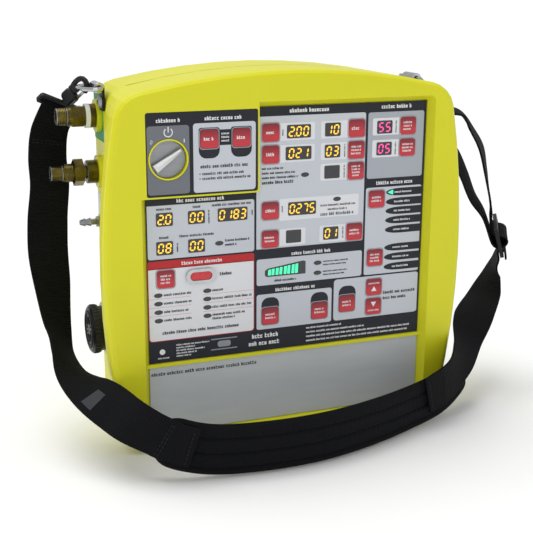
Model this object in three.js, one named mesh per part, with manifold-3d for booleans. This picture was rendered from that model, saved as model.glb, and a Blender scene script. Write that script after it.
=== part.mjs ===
// Portable mechanical ventilator with its shoulder strap.
// Millimetres, +Z up, +Y towards the rear. The origin is the centre of the flat base, so the
// machine stands on z = 0 and its front faces -Y.

import * as THREE from 'three';
import { mergeVertices } from 'three/addons/utils/BufferGeometryUtils.js';
import Module from 'manifold-3d';

const wasm = await Module();
wasm.setup();

// ---------------------------------------------------------------- driving dimensions

const GAP = 0.3; // between pieces that touch

const HOUSING = {
  frontY: -59,
  seamY: -4,
  rearY: 59,
  baseHalfWidth: 151,
  middleHalfWidth: 168,
  middleHeight: 157,
  topHalfWidth: 150.5,
  cornerHeight: 308,
  apexHeight: 326.5,
  rearHalfWidth: 147,
  wall: 3,
  cornerRadius: 16,
  edgeRadius: 6,
  taperY: -41,
  seamHalfWidth: 149.5,
};

// The control panel has its own coordinates: u to the right and v up, from the lower left
// corner of the main overlay.
const PANEL = {
  originX: -130,
  originZ: 79,
  width: 260,
  height: 217,
  lowerEdge: -65.5,
  recessDepth: 7.5,
  wallSlope: 4.7,
  floor: 3,
  overlay: 1,
};
const RIB = { top: 0, bottom: -3, proud: 2 };
const ISLAND = {
  left: -6,
  right: 98,
  bottom: 145.7,
  top: 222,
  overlayRight: 96.7,
  overlayBottom: 147.1,
  overlayTop: 216.4,
};
const KEY = { size: 15.4, corner: 2.4, proud: 0.8, depth: 2.7 };
const KNOB = {
  u: 18.9,
  v: 177.7,
  radius: 15.3,
  well: 15.8,
  collar: 17,
  faceDepth: 3.6,
  thickness: 5,
  pointerAngle: 34,
  pointerHeight: 4.4,
};
const ALARM = {
  u: 47.1,
  v: 75.3,
  width: 26.6,
  height: 12.7,
  windowWidth: 19.6,
  windowHeight: 7.6,
  proud: 2.5,
};

const PORT_Y = 38;
const OXYGEN_Z = 283;
const AIR_Z = 233.5;
const BARB = { y: 46, z: 186 };
const FILTER = { y: 27, z: 90.5, radius: 22, boss: 24 };
const OUTLET = { y: 30, z: 225, radius: 11, bore: 8.5, length: 24 };
const SOCKET = { y: 27, z: 70, width: 26, height: 20, flange: 3 };
const BOSS = {
  port: 14.5,
  portProud: 3.6,
  barb: 7,
  barbProud: 1.2,
  filterProud: 5,
  outlet: 15,
  outletProud: 2.5,
};

const RING = { wire: 1.8, y: 21, z: 309.5, barX: 151.6, halfWidth: 20.5, reach: 15.5, sleeve: 4.5 };
const WEBBING = { width: 38, thickness: 2 };
const PAD = { width: 47, thickness: 9, corner: 2.5 };

const PANEL_FACE_Y = HOUSING.frontY + PANEL.recessDepth;

// Each key: its name, and the centre of its cap on the panel.
const MAIN_KEYS = [
  ['key_inspiratory_time', 110.8, 194.8],
  ['key_oxygen_percent', 110.8, 176],
  ['key_tidal_volume', 110.6, 127.2],
  ['key_pressure_support', 110.6, 102],
  ['key_breath_rate', 191.2, 195],
  ['key_end_pressure', 191.2, 176],
  ['key_peak_pressure', 191.2, 157.6],
  ['key_trigger', 191.2, 102.4],
  ['key_high_alarm', 241.4, 195.2],
  ['key_low_alarm', 241.4, 175.8],
  ['key_mode', 212.6, 130.6],
  ['key_custom_mode', 212.6, 76.4],
  ['key_alarm_silence', 16.2, 75],
  ['key_oxygen_conserve', 111, 32],
  ['key_manual_breath', 158.6, 32],
  ['key_control_lock', 185.8, 35.8],
  ['key_increase', 212.6, 48.6],
  ['key_decrease', 212.6, 30.2],
];
const START_KEYS = [
  ['key_adult', 53.8, 193.2],
  ['key_child', 81.9, 193.2],
];

// ---------------------------------------------------------------- helpers

const model = new THREE.Group();

function look(color, roughness, metalness = 0) {
  return new THREE.MeshStandardMaterial({ color, roughness, metalness });
}

const LOOKS = {
  shell: () => look(0xc6c52c, 0.5),
  overlay: () => look(0x2b2d35, 0.45),
  plate: () => look(0xa8adaf, 0.5),
  key: () => look(0xb5252a, 0.4),
  knob: () => look(0xa8a8a4, 0.4),
  brass: () => look(0x8a7a30, 0.35, 1),
  steel: () => look(0xc8c8c8, 0.25, 1),
  black: () => look(0x1c1c1f, 0.6),
  webbing: () => look(0x0d0d10, 0.9),
  green: () => look(0x1e8a50, 0.5),
  board: () => look(0x1f5a34, 0.6),
  white: () => look(0xe6e6e2, 0.5),
  lens: () => look(0x2a1416, 0.2),
};

function addMesh(name, geometry, material) {
  const mesh = new THREE.Mesh(geometry, material);
  mesh.name = name;
  model.add(mesh);
  return mesh;
}

function solid(geometry) {
  const bare = geometry.clone();
  bare.deleteAttribute('normal');
  bare.deleteAttribute('uv');
  const merged = mergeVertices(bare, 1e-4);
  const vertProperties = new Float32Array(merged.attributes.position.array);
  const triVerts = new Uint32Array(merged.index.array);
  return new wasm.Manifold(new wasm.Mesh({ numProp: 3, vertProperties, triVerts }));
}

function geometryOf(manifold) {
  const mesh = manifold.getMesh();
  const geometry = new THREE.BufferGeometry();
  geometry.setAttribute('position', new THREE.BufferAttribute(mesh.vertProperties, 3));
  geometry.setIndex(new THREE.BufferAttribute(mesh.triVerts, 1));
  geometry.computeVertexNormals();
  return geometry;
}

function join(first, ...others) {
  return others.reduce((sum, next) => sum.add(solid(next)), solid(first));
}

function cut(base, ...cutters) {
  return cutters.reduce((rest, next) => rest.subtract(solid(next)), base);
}

// A box given by its lower and upper corners.
function block(x0, x1, y0, y1, z0, z1) {
  const box = new THREE.BoxGeometry(x1 - x0, y1 - y0, z1 - z0);
  return box.translate((x0 + x1) / 2, (y0 + y1) / 2, (z0 + z1) / 2);
}

// A drawn outline (x, z) made solid between two depths, y0 in front of y1.
function slab(shape, y0, y1, curveSegments = 4, steps = 1) {
  const depth = y1 - y0;
  const geometry = new THREE.ExtrudeGeometry(shape, { depth, steps, bevelEnabled: false, curveSegments });
  return geometry.rotateX(Math.PI / 2).translate(0, y1, 0);
}

// A box along X about the axis of a fitting at `place`, given its half sizes along Y and Z.
function blockX(x0, x1, place, halfY, halfZ) {
  return block(x0, x1, place.y - halfY, place.y + halfY, place.z - halfZ, place.z + halfZ);
}

// A round bar along X or Y.
function barX(radius, x0, x1, y, z, sides = 24) {
  const bar = new THREE.CylinderGeometry(radius, radius, x1 - x0, sides);
  return bar.rotateZ(Math.PI / 2).translate((x0 + x1) / 2, y, z);
}

function barY(radius, y0, y1, x, z, sides = 24) {
  return new THREE.CylinderGeometry(radius, radius, y1 - y0, sides).translate(x, (y0 + y1) / 2, z);
}

// A turned piece about the X axis: profile points are [distance along the axis, radius].
function turnedX(profile, side, x, y, z, sides = 24) {
  const points = profile.map(([along, radius]) => new THREE.Vector2(radius, along));
  return new THREE.LatheGeometry(points, sides).rotateZ((-side * Math.PI) / 2).translate(x, y, z);
}

function roundedRect(cx, cz, width, height, radius) {
  const x0 = cx - width / 2;
  const z0 = cz - height / 2;
  const x1 = cx + width / 2;
  const z1 = cz + height / 2;
  const shape = new THREE.Shape();
  shape.absarc(x1 - radius, z0 + radius, radius, -Math.PI / 2, 0);
  shape.absarc(x1 - radius, z1 - radius, radius, 0, Math.PI / 2);
  shape.absarc(x0 + radius, z1 - radius, radius, Math.PI / 2, Math.PI);
  shape.absarc(x0 + radius, z0 + radius, radius, Math.PI, 1.5 * Math.PI);
  return shape;
}

// A circle drawn with straight sides.
function circle(cx, cz, radius, sides) {
  const corners = [];
  for (let i = 0; i < sides; i += 1) {
    const angle = (2 * Math.PI * i) / sides;
    corners.push(new THREE.Vector2(cx + radius * Math.cos(angle), cz + radius * Math.sin(angle)));
  }
  return new THREE.Path(corners);
}

// A rounded rectangle given in panel coordinates.
function panelRect(u0, u1, v0, v1, radius) {
  const cx = PANEL.originX + (u0 + u1) / 2;
  const cz = PANEL.originZ + (v0 + v1) / 2;
  return roundedRect(cx, cz, u1 - u0, v1 - v0, radius);
}

const panelX = (u) => PANEL.originX + u;
const panelZ = (v) => PANEL.originZ + v;

// Radius of the circle through the ends and the crown of a shallow arch.
const archRadius = (halfChord, rise) => (halfChord ** 2 + rise ** 2) / (2 * rise);

// ---------------------------------------------------------------- housing outlines

const TOP_RADIUS = archRadius(HOUSING.topHalfWidth, HOUSING.apexHeight - HOUSING.cornerHeight);
const TOP_CENTRE_Z = HOUSING.apexHeight - TOP_RADIUS;
const SIDE_RADIUS = archRadius(HOUSING.cornerHeight / 2, HOUSING.middleHalfWidth - HOUSING.baseHalfWidth);
const SIDE_CENTRE_X = HOUSING.middleHalfWidth - SIDE_RADIUS;

// Outline of the housing moved inwards by an inset. sideX(z) is the half width at a height.
function housingOutline(inset, sideX, sideSteps) {
  const r = HOUSING.cornerRadius - inset / 2;
  const topRadius = TOP_RADIUS - inset;
  const topZ = (x) => TOP_CENTRE_Z + Math.sqrt(topRadius ** 2 - x ** 2);
  const cornerX = sideX(HOUSING.cornerHeight) - inset;
  const cornerZ = topZ(cornerX);
  const lowZ = inset + r;
  const highZ = cornerZ - r;
  const shape = new THREE.Shape();
  shape.moveTo(-(sideX(0) - inset - r), inset);
  shape.lineTo(sideX(0) - inset - r, inset);
  shape.quadraticCurveTo(sideX(0) - inset, inset, sideX(lowZ) - inset, lowZ);
  for (let i = 1; i <= sideSteps; i += 1) {
    const z = lowZ + ((highZ - lowZ) * i) / sideSteps;
    shape.lineTo(sideX(z) - inset, z);
  }
  shape.quadraticCurveTo(cornerX, cornerZ, cornerX - r, topZ(cornerX - r));
  const topAngle = Math.acos((cornerX - r) / topRadius);
  shape.absarc(0, TOP_CENTRE_Z, topRadius, topAngle, Math.PI - topAngle);
  shape.quadraticCurveTo(-cornerX, cornerZ, -(sideX(highZ) - inset), highZ);
  for (let i = sideSteps - 1; i >= 0; i -= 1) {
    const z = lowZ + ((highZ - lowZ) * i) / sideSteps;
    shape.lineTo(-(sideX(z) - inset), z);
  }
  shape.quadraticCurveTo(-(sideX(0) - inset), inset, -(sideX(0) - inset - r), inset);
  return shape;
}

function frontSideX(z) {
  return SIDE_CENTRE_X + Math.sqrt(SIDE_RADIUS ** 2 - (z - HOUSING.middleHeight) ** 2);
}

const frontOutline = (inset) => housingOutline(inset, frontSideX, 8);
const rearOutline = (inset) => housingOutline(inset, () => HOUSING.rearHalfWidth, 1);

// Draws the sides in behind the front so that they meet the narrower rear half at the seam.
function taper(geometry, inset) {
  const corner = geometry.attributes.position;
  for (let i = 0; i < corner.count; i += 1) {
    const [x, y, z] = [corner.getX(i), corner.getY(i), corner.getZ(i)];
    const share = THREE.MathUtils.clamp((y - HOUSING.taperY) / (HOUSING.seamY - HOUSING.taperY), 0, 1);
    const full = frontSideX(z) - inset;
    const narrow = Math.min(full, HOUSING.seamHalfWidth - inset);
    corner.setX(i, x * (1 + (share * (narrow - full)) / full));
  }
  return geometry;
}

// A closed block of the given outline with one softened end, at y0 or at y1.
function softBlock(outline, y0, y1, radius, softAtFront) {
  const shape = outline(radius);
  const geometry = new THREE.ExtrudeGeometry(shape, {
    depth: y1 - y0,
    steps: softAtFront ? 4 : 1,
    bevelThickness: radius,
    bevelSize: radius,
    bevelSegments: 3,
    curveSegments: 4,
  });
  const shift = softAtFront ? radius : -radius;
  geometry.rotateX(Math.PI / 2).translate(0, y1 + shift, 0);
  const body = solid(softAtFront ? taper(geometry, 0) : geometry);
  const far = 400;
  const [spareStart, spareEnd] = softAtFront ? [y1, y1 + far] : [y0 - far, y0];
  return cut(body, block(-far, far, spareStart, spareEnd, -far, far));
}

// ---------------------------------------------------------------- housing

function panelRecess() {
  const shape = panelRect(0, PANEL.width, PANEL.lowerEdge, PANEL.height, 0.8);
  const geometry = new THREE.ExtrudeGeometry(shape, {
    depth: 10,
    bevelThickness: PANEL.recessDepth + PANEL.overlay + GAP,
    bevelSize: PANEL.wallSlope,
    bevelSegments: 1,
    curveSegments: 2,
  });
  return geometry.rotateX(Math.PI / 2).translate(0, HOUSING.frontY, 0);
}

const FLOOR_Y = PANEL_FACE_Y + PANEL.overlay + GAP; // front of the recess floor
const FLOOR_BACK_Y = FLOOR_Y + PANEL.floor;

// A square well for a key, with the given clearance round its cap.
function keyWell(u, v, clearance) {
  const [x, z, half] = [panelX(u), panelZ(v), KEY.size / 2 + clearance];
  return block(x - half, x + half, HOUSING.frontY - 5, FLOOR_BACK_Y + 5, z - half, z + half);
}

const SHELL_POSTS = [[-118, 96], [-118, 226], [118, 96], [118, 284]];

function frontShell() {
  const seam = HOUSING.seamY - GAP;
  let shell = softBlock(frontOutline, HOUSING.frontY, seam, HOUSING.edgeRadius, true);
  const hollow = slab(frontOutline(HOUSING.wall), FLOOR_BACK_Y, seam - HOUSING.wall, 3, 3);
  const cavity = taper(hollow, HOUSING.wall);
  const throat = slab(rearOutline(HOUSING.wall + 1), seam - HOUSING.wall - 1, seam + 5);
  shell = cut(shell, panelRecess(), cavity, throat);
  const raised = panelRect(ISLAND.left, ISLAND.right, ISLAND.bottom, ISLAND.top, 1.5);
  const island = slab(raised, HOUSING.frontY, FLOOR_BACK_Y - 1, 3);
  const ribFront = PANEL_FACE_Y - RIB.proud;
  const rib = block(panelX(-4), panelX(264), ribFront, FLOOR_Y + 1, panelZ(RIB.bottom), panelZ(RIB.top));
  shell = shell.add(solid(island)).add(solid(rib));
  const pocket = panelRect(0, ISLAND.overlayRight, ISLAND.overlayBottom, ISLAND.overlayTop, 2);
  shell = cut(shell, slab(pocket, HOUSING.frontY - 1, HOUSING.frontY + PANEL.overlay + GAP, 3));
  const knobX = panelX(KNOB.u);
  const knobZ = panelZ(KNOB.v);
  shell = shell.add(solid(barY(KNOB.collar, HOUSING.frontY - 0.4, HOUSING.frontY + 3, knobX, knobZ, 40)));
  shell = cut(shell, barY(KNOB.well, HOUSING.frontY - 5, FLOOR_BACK_Y + 5, knobX, knobZ, 40));
  for (const [, u, v] of [...MAIN_KEYS, ...START_KEYS]) {
    shell = cut(shell, keyWell(u, v, 0.6));
  }
  for (const [x, z] of SHELL_POSTS) {
    shell = shell.add(solid(barY(4, FLOOR_BACK_Y - 1, BOARD_Y - GAP, x, z, 8)));
  }
  addMesh('front_shell', geometryOf(shell), LOOKS.shell());
}

const BOARD_Y = FLOOR_BACK_Y + 5; // front of the display board

const REAR_POSTS = [[-50, 175], [-50, 285], [90, 175], [90, 285]];
const CONTROL_BOARD_Y = -24;
const BOARD_THICKNESS = 1.6;

function rearShell() {
  const seam = HOUSING.seamY + 1 + GAP;
  const inner = HOUSING.rearHalfWidth - HOUSING.wall;
  let shell = softBlock(rearOutline, seam, HOUSING.rearY, 5, false);
  shell = cut(shell, slab(rearOutline(HOUSING.wall), seam - 1, HOUSING.rearY - HOUSING.wall));
  const side = -HOUSING.rearHalfWidth;
  const bosses = [
    barX(BOSS.port, side - BOSS.portProud, side + 2, PORT_Y, OXYGEN_Z, 32),
    barX(BOSS.port, side - BOSS.portProud, side + 1, PORT_Y, AIR_Z, 32),
    barX(BOSS.barb, side - BOSS.barbProud, side + 1, BARB.y, BARB.z, 20),
    barX(FILTER.boss, side - BOSS.filterProud, side + 1, FILTER.y, FILTER.z, 36),
    barX(BOSS.outlet, -side - 1, -side + BOSS.outletProud, OUTLET.y, OUTLET.z, 28),
  ];
  shell = cut(shell, plateBlock(side - 0.1, side + 1.1, GAP));
  for (const boss of bosses) {
    shell = shell.add(solid(boss));
  }
  const socketHoleY = SOCKET.width / 2 + GAP;
  const socketHoleZ = SOCKET.height / 2 + GAP;
  const holes = [
    barX(8.3, side - 10, side + 10, PORT_Y, OXYGEN_Z, 24),
    barX(8.3, side - 10, side + 10, PORT_Y, AIR_Z, 24),
    barX(3.3, side - 10, side + 10, BARB.y, BARB.z, 16),
    barX(18.3, side - 10, side + 10, FILTER.y, FILTER.z, 32),
    barX(11.3, inner - 5, inner + 10, OUTLET.y, OUTLET.z, 24),
    blockX(inner - 5, inner + 10, SOCKET, socketHoleY, socketHoleZ),
  ];
  shell = cut(shell, ...holes);
  for (const [x, z] of REAR_POSTS) {
    shell = shell.add(solid(barY(4, CONTROL_BOARD_Y + BOARD_THICKNESS + GAP, HOUSING.rearY - 1, x, z, 8)));
  }
  addMesh('rear_shell', geometryOf(shell), LOOKS.shell());
}

function gasket() {
  const ring = cut(
    solid(slab(rearOutline(1), HOUSING.seamY, HOUSING.seamY + 1)),
    slab(rearOutline(HOUSING.wall + 1), HOUSING.seamY - 1, HOUSING.seamY + 2),
  );
  addMesh('shell_gasket', geometryOf(ring), LOOKS.black());
}

// ---------------------------------------------------------------- control panel

function mainOverlay() {
  const islandU = ISLAND.right + 0.8;
  const islandV = ISLAND.bottom - 0.8;
  const right = PANEL.width - GAP;
  const top = PANEL.height - GAP;
  const shape = new THREE.Shape();
  const corners = [
    [GAP, GAP], [right, GAP], [right, top],
    [islandU, top], [islandU, islandV], [GAP, islandV],
  ];
  shape.setFromPoints(corners.map(([u, v]) => new THREE.Vector2(panelX(u), panelZ(v))));
  const capsule = roundedRect(panelX(ALARM.u), panelZ(ALARM.v), ALARM.width + 0.7, ALARM.height + 0.7, 6.5);
  shape.holes.push(capsule);
  const sheet = solid(slab(shape, PANEL_FACE_Y, PANEL_FACE_Y + PANEL.overlay, 2));
  const wells = MAIN_KEYS.map(([, u, v]) => keyWell(u, v, 0.4));
  addMesh('main_overlay', geometryOf(cut(sheet, ...wells)), LOOKS.overlay());
}

function startOverlay() {
  const { overlayRight, overlayBottom, overlayTop } = ISLAND;
  const shape = panelRect(GAP, overlayRight - GAP, overlayBottom + GAP, overlayTop - GAP, 1.8);
  shape.holes.push(circle(panelX(KNOB.u), panelZ(KNOB.v), KNOB.collar + 0.4, 36));
  const sheet = solid(slab(shape, HOUSING.frontY, HOUSING.frontY + PANEL.overlay, 2));
  const wells = START_KEYS.map(([, u, v]) => keyWell(u, v, 0.4));
  addMesh('start_overlay', geometryOf(cut(sheet, ...wells)), LOOKS.overlay());
}

function lowerPlate() {
  const shape = panelRect(GAP, PANEL.width - GAP, PANEL.lowerEdge + GAP, RIB.bottom - GAP, 1);
  addMesh('lower_plate', slab(shape, PANEL_FACE_Y, PANEL_FACE_Y + PANEL.overlay), LOOKS.plate());
}

// A key cap: its face stands proud of the overlay it comes through.
function keyCap(name, u, v, overlayY) {
  const front = overlayY - KEY.proud;
  const outline = roundedRect(panelX(u), panelZ(v), KEY.size, KEY.size, KEY.corner);
  addMesh(name, slab(outline, front, front + KEY.depth, 3), LOOKS.key());
}

function keys() {
  for (const [name, u, v] of MAIN_KEYS) {
    keyCap(name, u, v, PANEL_FACE_Y);
  }
  for (const [name, u, v] of START_KEYS) {
    keyCap(name, u, v, HOUSING.frontY);
  }
}

function powerKnob() {
  const faceY = HOUSING.frontY + KNOB.faceDepth;
  const x = panelX(KNOB.u);
  const z = panelZ(KNOB.v);
  const disc = barY(KNOB.radius, faceY, faceY + KNOB.thickness, x, z, 40);
  const shaft = barY(3, faceY + KNOB.thickness - 1, SWITCH_Y - GAP, x, z, 12);
  const wedge = [[-14, -4], [-14, 4], [14, 1.6], [14, -1.6]];
  const ridge = new THREE.Shape(wedge.map(([a, b]) => new THREE.Vector2(a, b)));
  const angle = THREE.MathUtils.degToRad(KNOB.pointerAngle);
  const pointer = new THREE.ExtrudeGeometry(ridge, { depth: KNOB.pointerHeight, bevelEnabled: false });
  pointer.rotateZ(angle).rotateX(Math.PI / 2).translate(x, faceY + 1, z);
  addMesh('power_knob', geometryOf(join(disc, shaft, pointer)), LOOKS.knob());
}

const SWITCH_Y = -41;

function powerSwitch() {
  const x = panelX(KNOB.u);
  const z = panelZ(KNOB.v);
  addMesh('power_switch', block(x - 12, x + 12, SWITCH_Y, SWITCH_Y + 12, z - 12, z + 12), LOOKS.black());
}

function alarmLamp() {
  const x = panelX(ALARM.u);
  const z = panelZ(ALARM.v);
  const front = PANEL_FACE_Y - ALARM.proud;
  const outer = roundedRect(x, z, ALARM.width, ALARM.height, 6);
  const window = roundedRect(x, z, ALARM.windowWidth, ALARM.windowHeight, 3.7);
  const bezel = cut(solid(slab(outer, front, FLOOR_Y - GAP, 6)), slab(window, front - 1, FLOOR_Y - 1, 6));
  addMesh('alarm_bezel', geometryOf(bezel), LOOKS.steel());
  const lens = roundedRect(x, z, ALARM.windowWidth - 0.6, ALARM.windowHeight - 0.6, 3.4);
  addMesh('alarm_lens', slab(lens, front + 0.8, FLOOR_Y - 1 - GAP, 6), LOOKS.lens());
}

// ---------------------------------------------------------------- inside

function insides() {
  const board = new THREE.Shape();
  const edge = [[4, 3], [256, 3], [256, 212], [38, 212], [38, 142], [4, 142]];
  board.setFromPoints(edge.map(([u, v]) => new THREE.Vector2(panelX(u), panelZ(v))));
  addMesh('display_board', slab(board, BOARD_Y, BOARD_Y + BOARD_THICKNESS), LOOKS.board());
  const controlBack = CONTROL_BOARD_Y + BOARD_THICKNESS;
  addMesh('control_board', block(-100, 100, CONTROL_BOARD_Y, controlBack, 165, 295), LOOKS.board());
  addMesh('battery_pack', block(-95, 95, 5, 50, HOUSING.wall + GAP, 72), LOOKS.black());
  addMesh('gas_manifold', block(MANIFOLD_X, -98, 22, 54, 216, 300), look(0xb8bcc0, 0.4, 1));
  addMesh('oxygen_valve', barX(12, -98 + GAP, -62, PORT_Y, OXYGEN_Z, 20), LOOKS.steel());
  addMesh('air_valve', barX(12, -98 + GAP, -62, PORT_Y, AIR_Z, 20), LOOKS.steel());
  const sounder = barY(16, FLOOR_BACK_Y + GAP, FLOOR_BACK_Y + 12, 80, 46, 24);
  addMesh('alarm_sounder', sounder, LOOKS.black());
}

// ---------------------------------------------------------------- gas connections on the left side

const SIDE_X = -HOUSING.rearHalfWidth;
const BOSS_X = SIDE_X - BOSS.portProud;
const MANIFOLD_X = -126; // left face of the gas manifold

function oxygenInlet() {
  const inner = MANIFOLD_X - GAP;
  const shank = barX(8, BOSS_X - 8, inner, PORT_Y, OXYGEN_Z);
  const flange = barX(10.5, BOSS_X - 5, BOSS_X - GAP, PORT_Y, OXYGEN_Z);
  const body = barX(8.6, BOSS_X - 24, BOSS_X - 7, PORT_Y, OXYGEN_Z);
  const thread = barX(7.2, BOSS_X - 34, BOSS_X - 23, PORT_Y, OXYGEN_Z);
  const bore = barX(3.2, BOSS_X - 45, BOSS_X - 12, PORT_Y, OXYGEN_Z, 16);
  const inlet = cut(join(shank, flange, body, thread), bore);
  addMesh('oxygen_inlet', geometryOf(inlet), LOOKS.brass());
  const collar = cut(
    solid(barX(10.8, BOSS_X - 9, BOSS_X - 5 - GAP, PORT_Y, OXYGEN_Z)),
    barX(8.9, BOSS_X - 12, BOSS_X, PORT_Y, OXYGEN_Z),
  );
  addMesh('oxygen_collar', geometryOf(collar), LOOKS.white());
}

function airInlet() {
  const inner = MANIFOLD_X - GAP;
  const shank = barX(8, BOSS_X - 9, inner, PORT_Y, AIR_Z);
  const flange = barX(10.4, BOSS_X - 9, BOSS_X - GAP, PORT_Y, AIR_Z);
  const neck = barX(5.6, BOSS_X - 14, BOSS_X - 8, PORT_Y, AIR_Z);
  const hexagon = barX(12, BOSS_X - 21, BOSS_X - 12.5, PORT_Y, AIR_Z, 6);
  const stem = barX(7.6, BOSS_X - 30, BOSS_X - 20, PORT_Y, AIR_Z);
  const tip = barX(6.4, BOSS_X - 41, BOSS_X - 29, PORT_Y, AIR_Z);
  const bore = barX(3.2, BOSS_X - 45, BOSS_X - 16, PORT_Y, AIR_Z, 16);
  const inlet = cut(join(shank, flange, neck, hexagon, stem, tip), bore);
  addMesh('air_inlet', geometryOf(inlet), LOOKS.brass());
}

function pressureBarb() {
  const base = SIDE_X - BOSS.barbProud;
  const shank = barX(3, base - 1, SIDE_X + 8, BARB.y, BARB.z, 16);
  const flange = barX(5, base - 3, base - GAP, BARB.y, BARB.z, 6);
  const points = [[0, 0], [0, 2.8], [5.5, 2.8], [5.7, 4], [10.5, 2.6], [10.7, 3.8], [15.5, 2.2], [15.5, 0]];
  const teeth = turnedX(points, -1, base - 2.5, BARB.y, BARB.z, 16);
  const bore = barX(1.3, base - 30, base - 6, BARB.y, BARB.z, 10);
  addMesh('pressure_barb', geometryOf(cut(join(shank, flange, teeth), bore)), LOOKS.steel());
}

// The square plate round the oxygen boss, grown by a clearance.
function plateBlock(x0, x1, clearance) {
  const half = 19.2 + clearance;
  return block(x0, x1, PORT_Y - half, PORT_Y + half, OXYGEN_Z - half - 2, OXYGEN_Z + half);
}

function oxygenPlate() {
  const clearance = barX(BOSS.port + GAP, SIDE_X - 5, SIDE_X + 5, PORT_Y, OXYGEN_Z, 32);
  const plate = cut(solid(plateBlock(SIDE_X + 0.2, SIDE_X + 0.8, 0)), clearance);
  addMesh('oxygen_plate', geometryOf(plate), LOOKS.green());
}

function filter() {
  const { y, z, radius } = FILTER;
  const face = SIDE_X - BOSS.filterProud;
  const rim = barX(radius - 1.5, face - 5, face - GAP, y, z, 32);
  const tube = barX(18, face - 1, SIDE_X + 22, y, z, 32);
  const cup = cut(join(rim, tube), barX(15.5, face - 10, SIDE_X + 20, y, z, 24));
  addMesh('filter_cup', geometryOf(cup), LOOKS.black());
  const profile = [[0, 0], [0, radius], [6.5, radius], [8.2, radius - 2], [8.2, 0]];
  addMesh('filter_cap', turnedX(profile, -1, face - 5 - GAP, y, z, 40), LOOKS.black());
}

// ---------------------------------------------------------------- connections on the right side

function patientOutlet() {
  const { y, z, radius, bore: boreRadius, length } = OUTLET;
  const base = HOUSING.rearHalfWidth + BOSS.outletProud;
  const tube = join(
    barX(radius, HOUSING.rearHalfWidth - 8, base + length, y, z, 24),
    barX(radius + 2.5, base + GAP, base + 3, y, z, 24),
  );
  const bore = barX(boreRadius, HOUSING.rearHalfWidth - 4, base + length + 5, y, z, 24);
  addMesh('patient_outlet', geometryOf(cut(tube, bore)), LOOKS.white());
}

function powerSocket() {
  const right = HOUSING.rearHalfWidth;
  const { flange: edge, width, height } = SOCKET;
  const body = blockX(right - 16, right + 0.5, SOCKET, width / 2, height / 2);
  const flange = blockX(right + GAP, right + 1.8, SOCKET, width / 2 + edge, height / 2 + edge);
  const mouth = blockX(right - 10, right + 5, SOCKET, width / 2 - edge, height / 2 - edge);
  addMesh('power_socket', geometryOf(cut(join(body, flange), mouth)), LOOKS.black());
}

// ---------------------------------------------------------------- rings and snap hooks

// side is -1 on the left and +1 on the right.
function ringBracket(name, side) {
  const wallX = side * (HOUSING.rearHalfWidth + GAP);
  const outX = side * (HOUSING.rearHalfWidth + 2.6);
  const [x0, x1] = side < 0 ? [outX, wallX] : [wallX, outX];
  const plate = block(x0, x1, RING.y - 13, RING.y + 1, 290, RING.z);
  const sleeve = barY(RING.sleeve, RING.y - 12, RING.y + 9, side * RING.barX, RING.z, 16);
  const tunnel = barY(RING.wire + 0.6, RING.y - 15, RING.y + 15, side * RING.barX, RING.z, 12);
  const screw = new THREE.SphereGeometry(5, 12, 6).scale(0.45, 1, 1).translate(outX, RING.y - 6, 297.5);
  const bracket = cut(join(plate, sleeve, screw), tunnel);
  addMesh(name, geometryOf(bracket), LOOKS.black());
}

// A flat-sided ring of round wire: the straight side turns in the bracket's sleeve and the
// other side reaches out, falling by an angle from level.
function ring(name, side, fall) {
  const turns = 14;
  const route = [];
  for (let i = 0; i <= turns; i += 1) {
    const angle = -Math.PI / 2 + (Math.PI * i) / turns;
    const reach = RING.reach * Math.cos(angle) ** 0.7;
    route.push(new THREE.Vector3(side * reach, RING.halfWidth * Math.sin(angle), 0));
  }
  for (const along of [0.5, 0, -0.5]) {
    route.push(new THREE.Vector3(0, RING.halfWidth * along, 0));
  }
  const curve = new THREE.CatmullRomCurve3(route, true, 'centripetal');
  const section = new THREE.Shape().absarc(0, 0, RING.wire, 0, 2 * Math.PI);
  const wire = new THREE.ExtrudeGeometry(section, {
    steps: 30,
    curveSegments: 4,
    bevelEnabled: false,
    extrudePath: curve,
  });
  wire.rotateY(side * fall).translate(side * RING.barX, RING.y, RING.z);
  addMesh(name, wire, LOOKS.steel());
}

const point = ([x, y, z]) => new THREE.Vector3(x, y, z);

// A frame with X along `along` and Z along `across`, for a piece drawn in its own plane.
function frameAt(origin, along, across) {
  const x = along.clone().normalize();
  const y = new THREE.Vector3().crossVectors(across, x).normalize();
  const z = new THREE.Vector3().crossVectors(x, y);
  return new THREE.Matrix4().makeBasis(x, y, z).setPosition(origin);
}

// A snap hook seen from the side: the ring's wire passes through its own origin, the arm bends
// round the wire, and the gate closes the mouth between the arm's tip and the body.
const HOOK = {
  arm: 2.5,
  gate: 1.5,
  gateStart: 1.4,
  gatePivot: 9.7,
  gateY: -5.4,
  bodyStart: 10.5,
  bodyEnd: 23.5,
  frameStart: 25.5,
  frameEnd: 36,
  frameHalf: 23.2,
  bar: 2.6,
  foldRadius: 3.8,
};

// Each ring falls by an angle from level. Its hook pulls on it at `contact` and leaves along
// `along`, with `across` along the ring's wire there. The flat loop at the hook's other end is
// swivelled so that its width lies along `width`.
const LEFT_HOOK = {
  prefix: 'left',
  side: -1,
  fall: 0.03,
  contact: [-160.8, 39, 309.2],
  along: [-0.502, 0.624, -0.598],
  across: [0.779, 0.627, 0],
  width: [0.863, 0.325, -0.386],
};
const RIGHT_HOOK = {
  prefix: 'right',
  side: 1,
  fall: 0.87,
  contact: [161.4, 21, 297.8],
  along: [0.8, 0, -0.6],
  across: [0, -1, 0],
  width: [-0.2, -0.94, -0.27],
};

const hookFrame = ({ contact, along, across }) => frameAt(point(contact), point(along), point(across));
const loopFrame = ({ contact, along, width }) => frameAt(point(contact), point(along), point(width));

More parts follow.
